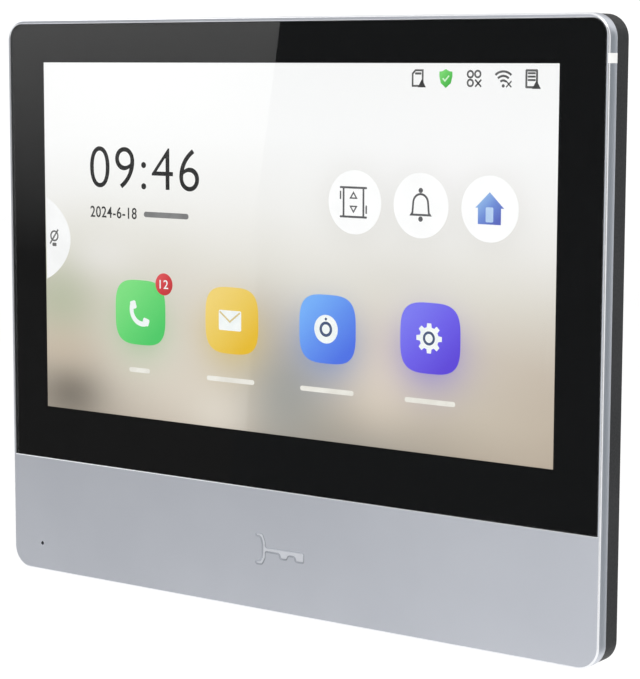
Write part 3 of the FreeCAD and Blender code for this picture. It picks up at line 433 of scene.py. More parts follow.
def speaker_paper():
    paint = Paint("speaker_paper")
    fibres = paint.noise(0.35, 6.0, 0.75, paint.stretched(1.0, 1.0, 0.4))
    paint.set("Base Color", paint.ramp(fibres, (0.3, (0.030, 0.030, 0.033, 1)), (0.7, (0.075, 0.074, 0.078, 1))))
    paint.set("Roughness", paint.range(fibres, 0.3, 0.7, 0.75, 0.92))
    paint.bump(fibres, 0.8, 0.05)
    return paint


def dotted_acrylic():
    paint = Paint("clear_acrylic", Coat_Weight=0.4)
    dots = paint.cells(1.2, "F1", paint.stretched(1.0, 0.0, 1.0))
    paint.set("Base Color", paint.blend(paint.range(dots, 0.22, 0.26), (0.93, 0.94, 0.94, 1), (0.78, 0.80, 0.82, 1)))
    paint.set("Roughness", paint.range(dots, 0.2, 0.3, 0.45, 0.12))
    paint.bump(dots, 0.3, 0.02)
    return paint


def rear_plastic():
    """Dark moulded cover with a fine spark-eroded texture."""
    paint = Paint("dark_plastic", Specular_IOR_Level=0.32)
    spark = paint.noise(0.45, 4.0, 0.7)
    cloud = paint.noise(30.0, 3.0, 0.5)
    speck = paint.cells(0.5)
    paint.set("Base Color", paint.blend(paint.range(cloud, 0.35, 0.65),
                                        (0.014, 0.0145, 0.016, 1), (0.020, 0.0205, 0.022, 1)))
    height = paint.math("ADD", spark, paint.math("MULTIPLY", speck, 0.5))
    paint.set("Roughness", paint.range(height, 0.5, 1.0, 0.48, 0.66))
    paint.bump(height, 0.55, 0.03)
    return paint


def bracket_steel():
    """Zinc-plated sheet: fine even grain and faint rolling lines."""
    paint = Paint("bracket_steel", Metallic=1.0)
    lines = paint.noise(0.35, 3.0, 0.6, paint.stretched(0.02, 1.0, 1.0))
    grain = paint.noise(0.25, 3.0, 0.7)
    cloud = paint.noise(40.0, 2.0, 0.5)
    shade = paint.math("ADD", paint.math("MULTIPLY", lines, 0.7), paint.math("MULTIPLY", cloud, 0.3))
    paint.set("Base Color", paint.ramp(shade, (0.35, (0.50, 0.51, 0.525, 1)), (0.5, (0.55, 0.56, 0.575, 1)),
                                       (0.65, (0.60, 0.61, 0.62, 1))))
    paint.set("Roughness", paint.range(paint.math("ADD", lines, grain), 0.7, 1.3, 0.30, 0.42))
    paint.bump(grain, 0.4, 0.008)
    return paint


def clear_glass():
    paint = Paint("cover_glass", Transmission_Weight=1.0, IOR=1.5, Roughness=0.0)
    smear = paint.noise(60.0, 2.0, 0.5)
    paint.set("Base Color", paint.blend(paint.range(smear, 0.4, 0.6), (0.980, 0.989, 0.986, 1),
                                        (0.990, 0.995, 0.993, 1)))
    return paint


# Two close colours, roughness, grain size and relief; then patch size and metal share where they differ.
MOULDED = {
    "white_plastic": ((0.80, 0.80, 0.78, 1), (0.86, 0.86, 0.84, 1), 0.45, 0.2, 0.01),
    "black_tape": ((0.014, 0.014, 0.015, 1), (0.022, 0.022, 0.023, 1), 0.75, 0.3, 0.05),
    "black_foam": ((0.020, 0.020, 0.021, 1), (0.035, 0.035, 0.037, 1), 0.9, 0.5, 0.15),
    "zinc_screws": ((0.60, 0.60, 0.58, 1), (0.74, 0.74, 0.70, 1), 0.28, 0.25, 0.01, 1.5, 1.0),
    "black_screws": ((0.040, 0.040, 0.042, 1), (0.075, 0.075, 0.078, 1), 0.38, 0.2, 0.01, 1.2, 0.9),
    "chip_plastic": ((0.022, 0.022, 0.025, 1), (0.036, 0.036, 0.040, 1), 0.55, 0.15, 0.01),
    "black_plastic": ((0.018, 0.018, 0.019, 1), (0.030, 0.030, 0.032, 1), 0.48, 0.3, 0.015),
    "gold_contacts": ((0.78, 0.55, 0.20, 1), (0.90, 0.68, 0.30, 1), 0.25, 0.2, 0.005, 1.0, 1.0),
    "green_plastic": ((0.020, 0.240, 0.075, 1), (0.030, 0.300, 0.100, 1), 0.42, 0.25, 0.012),
    "connector_plastic": ((0.74, 0.71, 0.62, 1), (0.82, 0.79, 0.71, 1), 0.5, 0.2, 0.01),
    "wire_sleeve": ((0.022, 0.022, 0.023, 1), (0.040, 0.040, 0.042, 1), 0.5, 0.25, 0.01),
    "black_rubber": ((0.018, 0.018, 0.018, 1), (0.030, 0.030, 0.030, 1), 0.8, 0.25, 0.02),
}
# Two close colours, roughness, streak size and the axis that the metal was drawn along.
DRAWN = {
    "sheet_steel": ((0.50, 0.50, 0.49, 1), (0.62, 0.62, 0.60, 1), 0.34, 0.5, "x"),
    "flat_cable": ((0.62, 0.55, 0.36, 1), (0.78, 0.72, 0.52, 1), 0.40, 0.6, "z"),
    "battery_steel": ((0.58, 0.58, 0.56, 1), (0.72, 0.72, 0.70, 1), 0.24, 0.3, "x"),
    "magnet_steel": ((0.36, 0.36, 0.36, 1), (0.50, 0.50, 0.50, 1), 0.36, 0.4, "x"),
    "microphone_can": ((0.66, 0.66, 0.67, 1), (0.80, 0.80, 0.81, 1), 0.25, 0.2, "x"),
    "brass_disc": ((0.62, 0.46, 0.18, 1), (0.78, 0.60, 0.28, 1), 0.28, 0.3, "x"),
}
paints = {
    "clear_acrylic": dotted_acrylic(),
    "circuit_board": circuit_board(),
    "speaker_paper": speaker_paper(),
    "dark_plastic": rear_plastic(),
    "bracket_steel": bracket_steel(),
    "cover_glass": clear_glass(),
}
paints.update((name, plain(name, *values)) for name, values in MOULDED.items())
paints.update((name, drawn(name, *values)) for name, values in DRAWN.items())
satin = aluminium("satin_aluminium", (0.580, 0.602, 0.655, 1), (0.615, 0.637, 0.690, 1), (0.36, 0.46),
                  (0.16, 2.0, 0.7), 0.006, cloud=(45.0, 3.0, 0.5), strength=0.35)
polished = aluminium("polished_aluminium", (0.76, 0.775, 0.80, 1), (0.84, 0.85, 0.87, 1), (0.12, 0.22),
                     (0.08, 3.0, 0.6), 0.003, stretch=(0.05, 1.0, 0.05))
# Painted shade: the key's sloped walls are the panel's satin metal made darker, standing in for the shade along the
# engraving's edges.
engraved_wall_painted_shade = aluminium("engraved_edge_painted_shade", (0.34, 0.36, 0.40, 1), (0.39, 0.41, 0.45, 1), (0.34, 0.44),
                          (0.1, 3.0, 0.6), 0.003)
# Painted light: the key's floor is the panel's satin metal made lighter, standing in for light caught inside the
# engraving.
engraved_floor_painted_light = aluminium("engraved_floor_painted_light", (0.76, 0.78, 0.83, 1), (0.82, 0.84, 0.89, 1), (0.34, 0.44),
                           (0.12, 2.0, 0.7), 0.004)
slot_of = {part["node"]: part["material_slot"] for part in frame["record"]["subparts"]}

for node, obj in frame["nodes"].items():
    name = slot_of[node]
    if name in paints:
        obj.data.materials.clear()
        obj.data.materials.append(paints[name].material)


def soften(obj, width, angle):
    """Small rounded edges, which catch the light."""
    bevel = obj.modifiers.new("edge", "BEVEL")
    bevel.width = width * MM
    bevel.segments = 2
    bevel.limit_method = "ANGLE"
    bevel.angle_limit = math.radians(angle)
    return bevel


for node, width in (("wall_bracket", 0.18), ("terminal_plug", 0.12)):
    soften(frame["nodes"][node], width, 50).harden_normals = True


# ------------ front frame

f_left, f_right, f_low, f_high = extent("front_frame")[:4]
g_left, g_right, g_low, g_high, g_front = extent("cover_glass")[:5]
m_left, m_right, m_low, m_high, m_front, m_back = extent("display_panel")
a_left, _, a_low, a_high, a_front, SIDE_BACK = extent("antenna_insert")

CORNER = 5.5                              # corner radius of the front
WALL = 1.2                                # metal at the sides
SEAM = 0.05                               # between the metal and the glass
GLASS_CORNER = 3.75
SHELF_FRONT, SHELF_BACK = 1.4, 2.4        # the ledge that the glass lies on
WINDOW_GAP = 0.3                          # between the ledge and the display panel
KEY_Z = (f_low + g_low) / 2 + 0.2
KEY_EASE = 0.55                           # how far its corners are drawn round
MIC = (f_left + 10.0, f_low + 7.3)
# The polished edge from the side to the face: how far in, and how deep there.
BEVEL = ((0.0, 0.36), (0.03, 0.28), (0.08, 0.20), (0.24, 0.07), (0.32, 0.02), (0.42, 0.0))


def frame_loop(solid, amount, depth):
    return solid.loop(rounded(f_left + amount, f_right - amount, f_low + amount, f_high - amount,
                              CORNER - amount, 14), depth)


def prism(name, profile, low, high):
    """A mesh with that outline seen from above, between two heights."""
    work = bmesh.new()
    rings = [[work.verts.new((x * MM, (FRONT + depth) * MM, z * MM)) for x, depth in profile]
             for z in (low, high)]
    for ring in rings:
        work.faces.new(ring)
    for i in range(len(profile)):
        work.faces.new((rings[0][i - 1], rings[0][i], rings[1][i], rings[1][i - 1]))
    bmesh.ops.recalc_face_normals(work, faces=work.faces)
    data = bpy.data.meshes.new(name)
    work.to_mesh(data)
    work.free()
    return data


def eased(points, reach, steps=4):
    """The outline with each corner drawn as a short curve."""
    result = []
    for i, corner in enumerate(points):
        ends = []
        for other in (points[i - 1], points[(i + 1) % len(points)]):
            away = math.dist(corner, other)
            share = min(reach, 0.42 * away) / away
            ends.append([c + (o - c) * share for c, o in zip(corner, other)])
        for k in range(steps + 1):
            t = k / steps
            result.append(tuple((1 - t) ** 2 * a + 2 * t * (1 - t) * c + t * t * b
                                for a, c, b in zip(ends[0], corner, ends[1])))
    return result


def key_symbol():
    """A plain key lying down: a short bow on the left and a shaft with two teeth."""
    points = [
        (-7.1, 3.1), (-5.7, 3.1), (-5.1, 1.6), (-5.1, -1.8), (-5.8, -3.1), (-7.1, -3.1), (-7.1, -3.9),
        (-5.2, -3.9), (-4.2, -2.2), (-4.2, -0.5), (0.1, -0.6), (0.4, -1.8), (2.4, -1.8), (2.8, -0.7),
        (4.8, -0.7), (5.1, -1.9), (7.6, -1.9), (7.6, 0.6), (-4.2, 0.5), (-4.2, 2.0), (-5.1, 3.9), (-7.1, 3.9),
    ]
    return eased(moved(points, 0, KEY_Z), KEY_EASE)


def make_front():
    solid = Solid("front_shell")
    outside = [frame_loop(solid, *step) for step in (
        (WALL, SIDE_BACK), (0.15, SIDE_BACK), (0.04, SIDE_BACK - 0.04), (0.0, SIDE_BACK - 0.15), BEVEL[0])]
    solid.walls(outside)
    bevel = [outside[-1]] + [frame_loop(solid, *step) for step in BEVEL[1:]]
    solid.walls(bevel, paint=1)

    def mouth(out, depth):
        return solid.loop(arched(g_left - out, g_right + out, g_low - out, g_high + out,
                                 GLASS_CORNER + out), depth)

    lip = mouth(SEAM + 0.10, 0.0)
    below = mouth(SEAM, 0.10)
    deep = mouth(SEAM, SHELF_FRONT)
    solid.wall(lip, below, paint=1)
    solid.wall(below, deep)

    key = key_symbol()
    key_loops = [solid.loop(inset(key, amount), depth) for amount, depth in (
        (-0.18, 0.0), (-0.10, 0.02), (0.13, 0.17), (0.22, 0.19))]
    # The walls take the darker copy of the satin metal, which is painted shade.
    solid.walls(key_loops, paint=2)
    # The floor takes the lighter copy of the satin metal, which is painted light.
    solid.fill(key_loops[-1], paint=3)

    mic_loops = [solid.loop(disc(*MIC, radius, 28), depth) for radius, depth in (
        (0.58, 0.0), (0.5, 0.08), (0.5, SHELF_BACK))]
    solid.walls(mic_loops)
    solid.fill(bevel[-1], lip, key_loops[0], mic_loops[0])

    window = rounded(m_left - WINDOW_GAP, m_right + WINDOW_GAP, m_low - WINDOW_GAP, m_high + WINDOW_GAP, 0.4, 3)
    shelf = solid.loop(window, SHELF_FRONT)
    shelf_under = solid.loop(window, SHELF_BACK)
    solid.wall(shelf, shelf_under)
    solid.fill(deep, shelf)
    inner = frame_loop(solid, WALL, SHELF_BACK)
    solid.wall(inner, outside[0])
    solid.fill(inner, shelf_under, mic_loops[-1])
    shell = solid.finish(satin, polished, engraved_wall_painted_shade, engraved_floor_painted_light)

    lip_edge = f_right - BEVEL[-1][0]
    clear = 1.0
    cutter = placed("notch", prism("notch", (
        (lip_edge, -clear), (f_right + clear, -clear), (f_right + clear, SIDE_BACK + clear),
        (a_left, SIDE_BACK + clear), (a_left, a_front), (lip_edge, a_front)), a_low, a_high))
    boolean = shell.modifiers.new("notch", "BOOLEAN")
    boolean.operation = "DIFFERENCE"
    boolean.solver = "EXACT"
    boolean.object = cutter
    bpy.context.view_layer.update()
    data = bpy.data.meshes.new_from_object(shell.evaluated_get(bpy.context.evaluated_depsgraph_get()))
    shell.modifiers.clear()
    shell.data = data
    bpy.data.objects.remove(cutter)
    stands_for(shell, "front_frame")


def make_insert():
    """The white break in the metal side, cut to the same bevel."""
    edge = [(f_right - inward, max(depth, 0.01)) for inward, depth in reversed(BEVEL)]
    profile = edge + [(f_right, SIDE_BACK), (a_left, SIDE_BACK), (a_left, a_front), (edge[0][0], a_front)]
    insert = placed("side_insert", prism("side_insert", profile, a_low, a_high), [paints["white_plastic"].material])
    soften(insert, 0.03, 60)
    stands_for(insert, "antenna_insert")


make_front()
make_insert()


# ------------ glass and black print

LIT_LEFT, LIT_RIGHT = -77.15, 76.3
LIT_LOW = g_low + 13.8
LIT_HIGH = LIT_LOW + 90.05
GLASS_BACK = 1.06
PRINT_DEPTHS = (1.08, 1.18)


def make_glass():
    solid = Solid("glass_plate")
    loops = [solid.loop(arched(g_left + amount, g_right - amount, g_low + amount, g_high - amount,
                               GLASS_CORNER - amount), depth) for amount, depth in (
        (0.16, g_front), (0.08, g_front + 0.02), (0.02, g_front + 0.08), (0.0, g_front + 0.16),
        (0.0, GLASS_BACK - 0.1), (0.08, GLASS_BACK))]
    solid.walls(loops)
    solid.fill(loops[0])
    solid.fill(loops[-1])
    glass = solid.finish(paints["cover_glass"].material)
    stands_for(glass, "cover_glass")


def make_print():
    """The black border printed behind the glass, with a clear window over the picture."""
    paint = Paint("black_print", Specular_IOR_Level=0.0, Roughness=0.6)
    speck = paint.noise(0.3, 3.0, 0.6)
    paint.set("Base Color", paint.ramp(speck, (0.3, (0.0035, 0.0035, 0.0037, 1)),
                                       (0.7, (0.0060, 0.0059, 0.0060, 1))))
    solid = Solid("black_border")
    outer = arched(g_left + 0.02, g_right - 0.02, g_low + 0.02, g_high - 0.02, GLASS_CORNER)
    inner = rounded(LIT_LEFT - 0.05, LIT_RIGHT + 0.05, LIT_LOW - 0.05, LIT_HIGH + 0.05, 0.1, 2)
    outer_loops = [solid.loop(outer, depth) for depth in PRINT_DEPTHS]
    inner_loops = [solid.loop(inner, depth) for depth in PRINT_DEPTHS]
    solid.walls(outer_loops)
    solid.walls(inner_loops)
    for first, second in zip(outer_loops, inner_loops):
        solid.fill(first, second)
    ring = solid.finish(paint.material)
    stands_for(ring, "cover_glass")


make_glass()
make_print()


# ------------ the picture

LAYER = {"tile": 1.56, "sign": 1.50, "badge": 1.44, "top": 1.38}     # front depth of each layer
THICK = 0.04
GLOW = 1.08
PITCH = 0.15                              # between the panel's columns of dots
SHIFT = -0.75
TILE = 8.3                                # half a tile's width
tile_places = [(x + SHIFT, -1.35) for x in (-44.3, -14.7, 14.4, 43.7)]
circle_places = [(22.2 + SHIFT, 29.3), (40.8 + SHIFT, 29.25), (59.4 + SHIFT, 29.2)]
CLOCK_LEFT = -60.9 + SHIFT
CLOCK_LOW = f_low + 102.8
DATE_LOW = f_low + 95.1
TAB_MIDDLE = f_low + 88.9
STATUS_Z = 58.4


def lit(name, strength=GLOW):
    """A light-giving material: black body, colour only from within."""
    return Paint(name, Base_Color=(0.004, 0.004, 0.004, 1), Roughness=0.35, Specular_IOR_Level=0.2,
                 Emission_Strength=strength)


def dots(paint, colour):
    """The colour through the panel's fine columns of dots."""
    columns = paint.math("SINE", paint.math("MULTIPLY", paint.axes()[0], math.tau / (PITCH * MM)))
    gain = paint.range(columns, -1.0, 1.0, 0.975, 1.0)
    return paint.blend(1.0, colour, gain, "MULTIPLY")


def lit_tone(name, colour, second, size=3.0, strength=GLOW):
    """Two close colours in soft patches."""
    paint = lit(name, strength)
    cloud = paint.noise(size, 2.0, 0.5)
    paint.set("Emission Color", dots(paint, paint.blend(paint.range(cloud, 0.3, 0.7), colour, second)))
    return paint.material


def lit_slope(name, cx, cz, reach, first, middle, last):
    """A colour that deepens from the upper left to the lower right of a square."""
    paint = lit(name)
    axes = paint.axes()
    slope = paint.math("SUBTRACT", paint.math("SUBTRACT", axes[0], cx * MM),
                       paint.math("SUBTRACT", axes[2], cz * MM))
    amount = paint.range(slope, -reach * MM, reach * MM)
    paint.set("Emission Color", dots(paint, paint.ramp(amount, (0.0, first), (0.5, middle), (1.0, last))))
    return paint.material


def wallpaper():
    """An out-of-focus room: white above, warm and shadowed below, with a painted glare: a faint near-white veil to
    the left of a slanted line, standing in for a reflection on the cover glass.
    """
    paint = lit("picture_light")
    axes = paint.axes()
    wander = paint.math("MULTIPLY", paint.math("SUBTRACT", paint.noise(55.0, 1.0, 0.4), 0.5), 22 * MM)
    height = paint.range(paint.math("ADD", axes[2], wander), LIT_LOW * MM, LIT_HIGH * MM)
    base = paint.ramp(height,
                      (0.00, rgb(183, 171, 155)), (0.13, rgb(204, 194, 178)), (0.28, rgb(212, 203, 190)),
                      (0.45, rgb(228, 225, 216)), (0.60, rgb(242, 241, 238)), (0.78, rgb(251, 251, 251)),
                      (1.00, rgb(249, 249, 249)))
    # Soft spots: middle, width and height in mm, strength and colour.
    for x, z, wide, high, amount, colour in (
            (0, -18, 16, 17, 0.90, rgb(152, 154, 151)), (-6, -2, 10, 10, 0.35, rgb(184, 176, 168)),
            (24, -32, 22, 9, 0.65, rgb(148, 145, 138)), (-79, -33, 14, 9, 0.30, rgb(124, 112, 96)),
            (-69, -24, 13, 9, 0.90, rgb(96, 86, 72)), (-72, 0, 14, 12, 0.75, rgb(170, 180, 148)),
            (-72, -12, 16, 7, 0.35, rgb(206, 176, 152)), (-28, -20, 20, 12, 0.55, rgb(224, 214, 198)),
            (-20, -25, 9, 6, 0.50, rgb(230, 222, 208)), (-44, -6, 13, 11, 0.50, rgb(236, 231, 222)),
            (29, -11, 10, 12, 0.65, rgb(226, 213, 198)), (77, -16, 20, 26, 0.50, rgb(184, 168, 150)),
            (-48, 58, 46, 22, 0.70, rgb(255, 255, 255)), (42, 35, 28, 9, 0.50, rgb(252, 251, 252)),
            (-58, 13, 12, 6, 0.40, rgb(242, 240, 239)), (36, 12, 16, 6, 0.25, rgb(212, 208, 203))):
        base = paint.blend(paint.math("MULTIPLY", paint.blob(x, z, wide, high), amount), base, colour)
    # Painted reflection: 8% of near-white laid over the picture to the left of a slanted line, standing in for the
    # glare edge on the cover glass.
    glare_line = paint.math("SUBTRACT", axes[0], paint.math("MULTIPLY", axes[2], 0.087))
    painted_glare = paint.math("MULTIPLY", paint.range(glare_line, -9.4 * MM, -8.0 * MM, 1.0, 0.0), 0.08)
    base = paint.blend(painted_glare, base, rgb(250, 248, 245))
    for (x, z), shade in zip(tile_places, (rgb(150, 190, 140), rgb(214, 190, 110), rgb(110, 140, 200),
                                           rgb(130, 116, 210))):
        base = paint.blend(paint.math("MULTIPLY", paint.blob(x, z - 3.4, 9.4, 8.6), 0.75), base, shade)
    for x, z in circle_places:
        base = paint.blend(paint.math("MULTIPLY", paint.blob(x, z - 1.2, 9.0, 9.0), 0.55), base,
                           rgb(214, 212, 206))
    paint.set("Emission Color", dots(paint, base))
    return paint.material


def make_panel():
    """The display panel: glass sandwich with the lit area on its face."""
    solid = Solid("picture_panel")
    rim = Paint("panel_edge", Roughness=0.3)
    rim.set("Base Color", rim.ramp(rim.noise(1.0, 3.0, 0.6), (0.3, (0.010, 0.010, 0.011, 1)),
                                   (0.7, (0.020, 0.020, 0.022, 1))))
    outline = rounded(m_left, m_right, m_low, m_high, 0.3, 2)
    front_loop = solid.loop(inset(outline, 0.08), m_front)
    edge_loops = [front_loop] + [solid.loop(inset(outline, amount), depth) for amount, depth in (
        (0.0, m_front + 0.08), (0.0, m_back - 0.08), (0.08, m_back))]
    solid.walls(edge_loops)
    solid.fill(edge_loops[-1])
    past = 0.4
    window = solid.loop(rounded(LIT_LEFT - past, LIT_RIGHT + past, LIT_LOW - past, LIT_HIGH + past, 0.1, 2), m_front)
    solid.wall(front_loop, window)
    solid.fill(window, paint=1)
    panel = solid.finish(rim.material, wallpaper())
    stands_for(panel, "display_panel")


def show(name, outlines, layer, material):
    """A shape on the picture, in one of its layers."""
    front = LAYER[layer]
    plate(name, outlines, front, front + THICK, [material], 0.01)


def show_digits(name, text, left, right, low, high, layer, material, weight=0.004):
    front = LAYER[layer]
    digits(name, text, left, right, low, high, front, front + THICK, [material], weight)


def squircle(cx, cz, half, power=3.4, steps=64):
    """A square with very soft corners."""
    points = []
    for i in range(steps):
        angle = math.tau * i / steps
        c, s = math.cos(angle), math.sin(angle)
        points.append((cx + half * math.copysign(abs(c) ** (2 / power), c),
                       cz + half * math.copysign(abs(s) ** (2 / power), s)))
    return points


def gear(cx, cz, outer, inner, teeth=8):
    points = []
    for i in range(teeth):
        middle = 360 * i / teeth
        for angle, radius in ((-15, inner), (-9, outer), (9, outer), (15, inner)):
            a = math.radians(middle + angle)
            points.append((cx + radius * math.cos(a), cz + radius * math.sin(a)))
    return points


def handset(cx, cz, scale):
    """A telephone handset: a bowed grip with a block at each end."""
    grip = stroke(arc(0, 3.2, 4.4, 205, 335, 12), 1.5)
    ends = []
    for side in (-1, 1):
        block = rounded(-1.25, 1.25, -1.1, 1.1, 0.5, 4)
        ends.append(moved(turned(block, side * 28), side * 3.5, 1.5))
    return [moved(turned(points, -45), cx, cz, scale) for points in [grip] + ends]


def make_tiles():
    colours = (
        (rgb(128, 226, 132), rgb(104, 216, 118), rgb(78, 203, 104)),
        (rgb(244, 214, 118), rgb(238, 204, 92), rgb(232, 188, 46)),
        (rgb(118, 176, 250), rgb(98, 146, 240), rgb(78, 114, 230)),
        (rgb(124, 122, 242), rgb(110, 96, 234), rgb(94, 70, 218)),
    )
    for i, ((x, z), tones) in enumerate(zip(tile_places, colours), 1):
        show(f"tile_{i}", [squircle(x, z, TILE)], "tile", lit_slope(f"tile_light_{i}", x, z, 11.0, *tones))
    white = lit_tone("sign_light", rgb(250, 253, 251), rgb(240, 246, 246))
    (ax, az), (bx, bz), (cx, cz), (dx, dz) = tile_places
    for i, points in enumerate(handset(ax - 1.1, az - 1.1, 0.84), 1):
        show(f"call_sign_{i}", [points], "sign", white)
    flap = lit_tone("flap_light", rgb(226, 206, 150), rgb(216, 196, 140))
    bx -= 0.5
    show("letter_sign", [rounded(bx - 3.5, bx + 3.5, bz - 2.5, bz + 2.5, 0.4, 3)], "sign", white)
    show("letter_flap", [stroke([(bx - 3.2, bz + 2.1), (bx, bz - 0.3), (bx + 3.2, bz + 2.1)], 0.45)], "badge", flap)
    slate = lit_tone("sign_shadow", rgb(76, 92, 128), rgb(64, 78, 112), 2.0)
    cx, dx = cx - 0.35, dx - 0.25
    show("view_sign", [disc(cx, cz, 3.45)], "sign", white)
    show("view_ring", [disc(cx, cz, 1.85, 32), disc(cx, cz, 1.15, 32)], "badge", slate)
    show("view_notch", [disc(cx, cz + 2.45, 0.34, 16)], "badge", slate)
    show("settings_sign", [gear(dx, dz, 3.55, 2.65)], "sign", white)
    show("settings_ring", [disc(dx, dz, 1.65, 28), disc(dx, dz, 1.05, 28)], "badge", slate)
    ax -= 0.4
    red = lit_slope("badge_light", ax + 8.4, az + 7.7, 4.0, rgb(226, 86, 90), rgb(212, 64, 70), rgb(196, 52, 58))
    show("call_badge", [disc(ax + 8.4, az + 7.7, 2.8)], "badge", red)
    show_digits("call_count", "12", ax + 7.0, ax + 9.8, az + 6.6, az + 8.8, "top", white)


def make_labels():
    """Where each tile's word would stand: plain soft bars."""
    tone = lit_tone("label_light", rgb(240, 238, 230), rgb(230, 227, 218))
    low, high = -16.8, -15.6
    for i, (left, width) in enumerate(((-48.9, 6.9), (-23.4, 15.0), (5.6, 15.8), (36.0, 14.0)), 1):
        show(f"label_{i}", [rounded(left, left + width, low, high, 0.6, 6)], "tile", tone)


def make_clock():
    ink = lit_tone("clock_ink", rgb(3, 3, 3), rgb(8, 8, 8), 4.0)
    show_digits("clock_digits", "09:46", CLOCK_LEFT, CLOCK_LEFT + 36.0, CLOCK_LOW, CLOCK_LOW + 10.5, "tile", ink,
                -0.010)
    soft = lit_tone("date_ink", rgb(40, 40, 40), rgb(54, 54, 54), 4.0)
    show_digits("date_digits", "2024-6-18", CLOCK_LEFT, CLOCK_LEFT + 15.6, DATE_LOW, DATE_LOW + 2.9, "tile", soft,
                0.010)
    day = lit_tone("day_ink", rgb(120, 120, 120), rgb(136, 136, 136), 4.0)
    show("day_bar", [rounded(CLOCK_LEFT + 18.0, CLOCK_LEFT + 32.6, DATE_LOW + 0.7, DATE_LOW + 2.1, 0.7, 6)],
         "tile", day)


def make_circles():
    white = lit_tone("circle_light", rgb(255, 255, 255), rgb(250, 250, 250), 6.0, 1.12)
    ink = lit_tone("circle_ink", rgb(84, 84, 86), rgb(100, 100, 102), 2.0)
    for i, (x, z) in enumerate(circle_places, 1):
        show(f"circle_{i}", [disc(x, z, 7.55, 56)], "tile", white)
    (ax, az), (bx, bz), (cx, cz) = circle_places
    ax -= 0.3
    show("lift_door", hollow(ax - 3.1, ax + 3.1, az - 3.7, az + 3.7, 0.3, 0.5), "sign", ink)
    for i, side in enumerate((1, -1), 1):
        sill_z, guard_x, guard_z = az + side * 3.45, ax - side * 3.7, az + side * 1.6
        show(f"lift_sill_{i}", [rounded(ax - 3.9, ax + 3.9, sill_z - 0.25, sill_z + 0.25, 0.2, 3)], "badge", ink)
        show(f"lift_guard_{i}", [rounded(guard_x - 0.2, guard_x + 0.2, guard_z - 1.0, guard_z + 1.0, 0.15, 3)],
             "badge", ink)
        middle = az + side * 1.5
        base, tip = middle - side * 0.7, middle + side * 1.1
        arrow = [(ax - 1.2, base), (ax + 1.2, base), (ax, tip)][::side]
        show(f"lift_arrow_{i}", [arrow, inset(arrow, 0.34)], "sign", ink)
    bell = arc(bx, bz + 0.6, 2.3, 0, 180, 14) + [(bx - 2.5, bz - 1.6), (bx - 3.1, bz - 2.4), (bx + 3.1, bz - 2.4),
                                                 (bx + 2.5, bz - 1.6)]
    show("bell_sign", [bell, inset(bell, 0.5)], "sign", ink)
    show("bell_clapper", [disc(bx, bz - 3.1, 0.62, 20)], "sign", ink)
    show("bell_loop", [disc(bx, bz + 3.5, 0.6, 20)], "sign", ink)
    roof = lit_slope("house_light", cx, cz, 5.0, rgb(150, 190, 236), rgb(112, 142, 216), rgb(88, 104, 190))
    house = [(cx - 3.1, cz - 3.5), (cx + 3.0, cz - 3.5), (cx + 3.0, cz + 0.2), (cx + 3.8, cz + 0.2),
             (cx, cz + 3.8), (cx - 3.8, cz + 0.2), (cx - 3.1, cz + 0.2)]
    show("house_sign", [house], "sign", roof)
    pale = lit_tone("house_door_light", rgb(190, 214, 246), rgb(176, 204, 240), 2.0)
    show("house_door", [rounded(cx - 1.0, cx + 1.0, cz - 3.0, cz + 0.4, 0.3, 3)], "badge", pale)


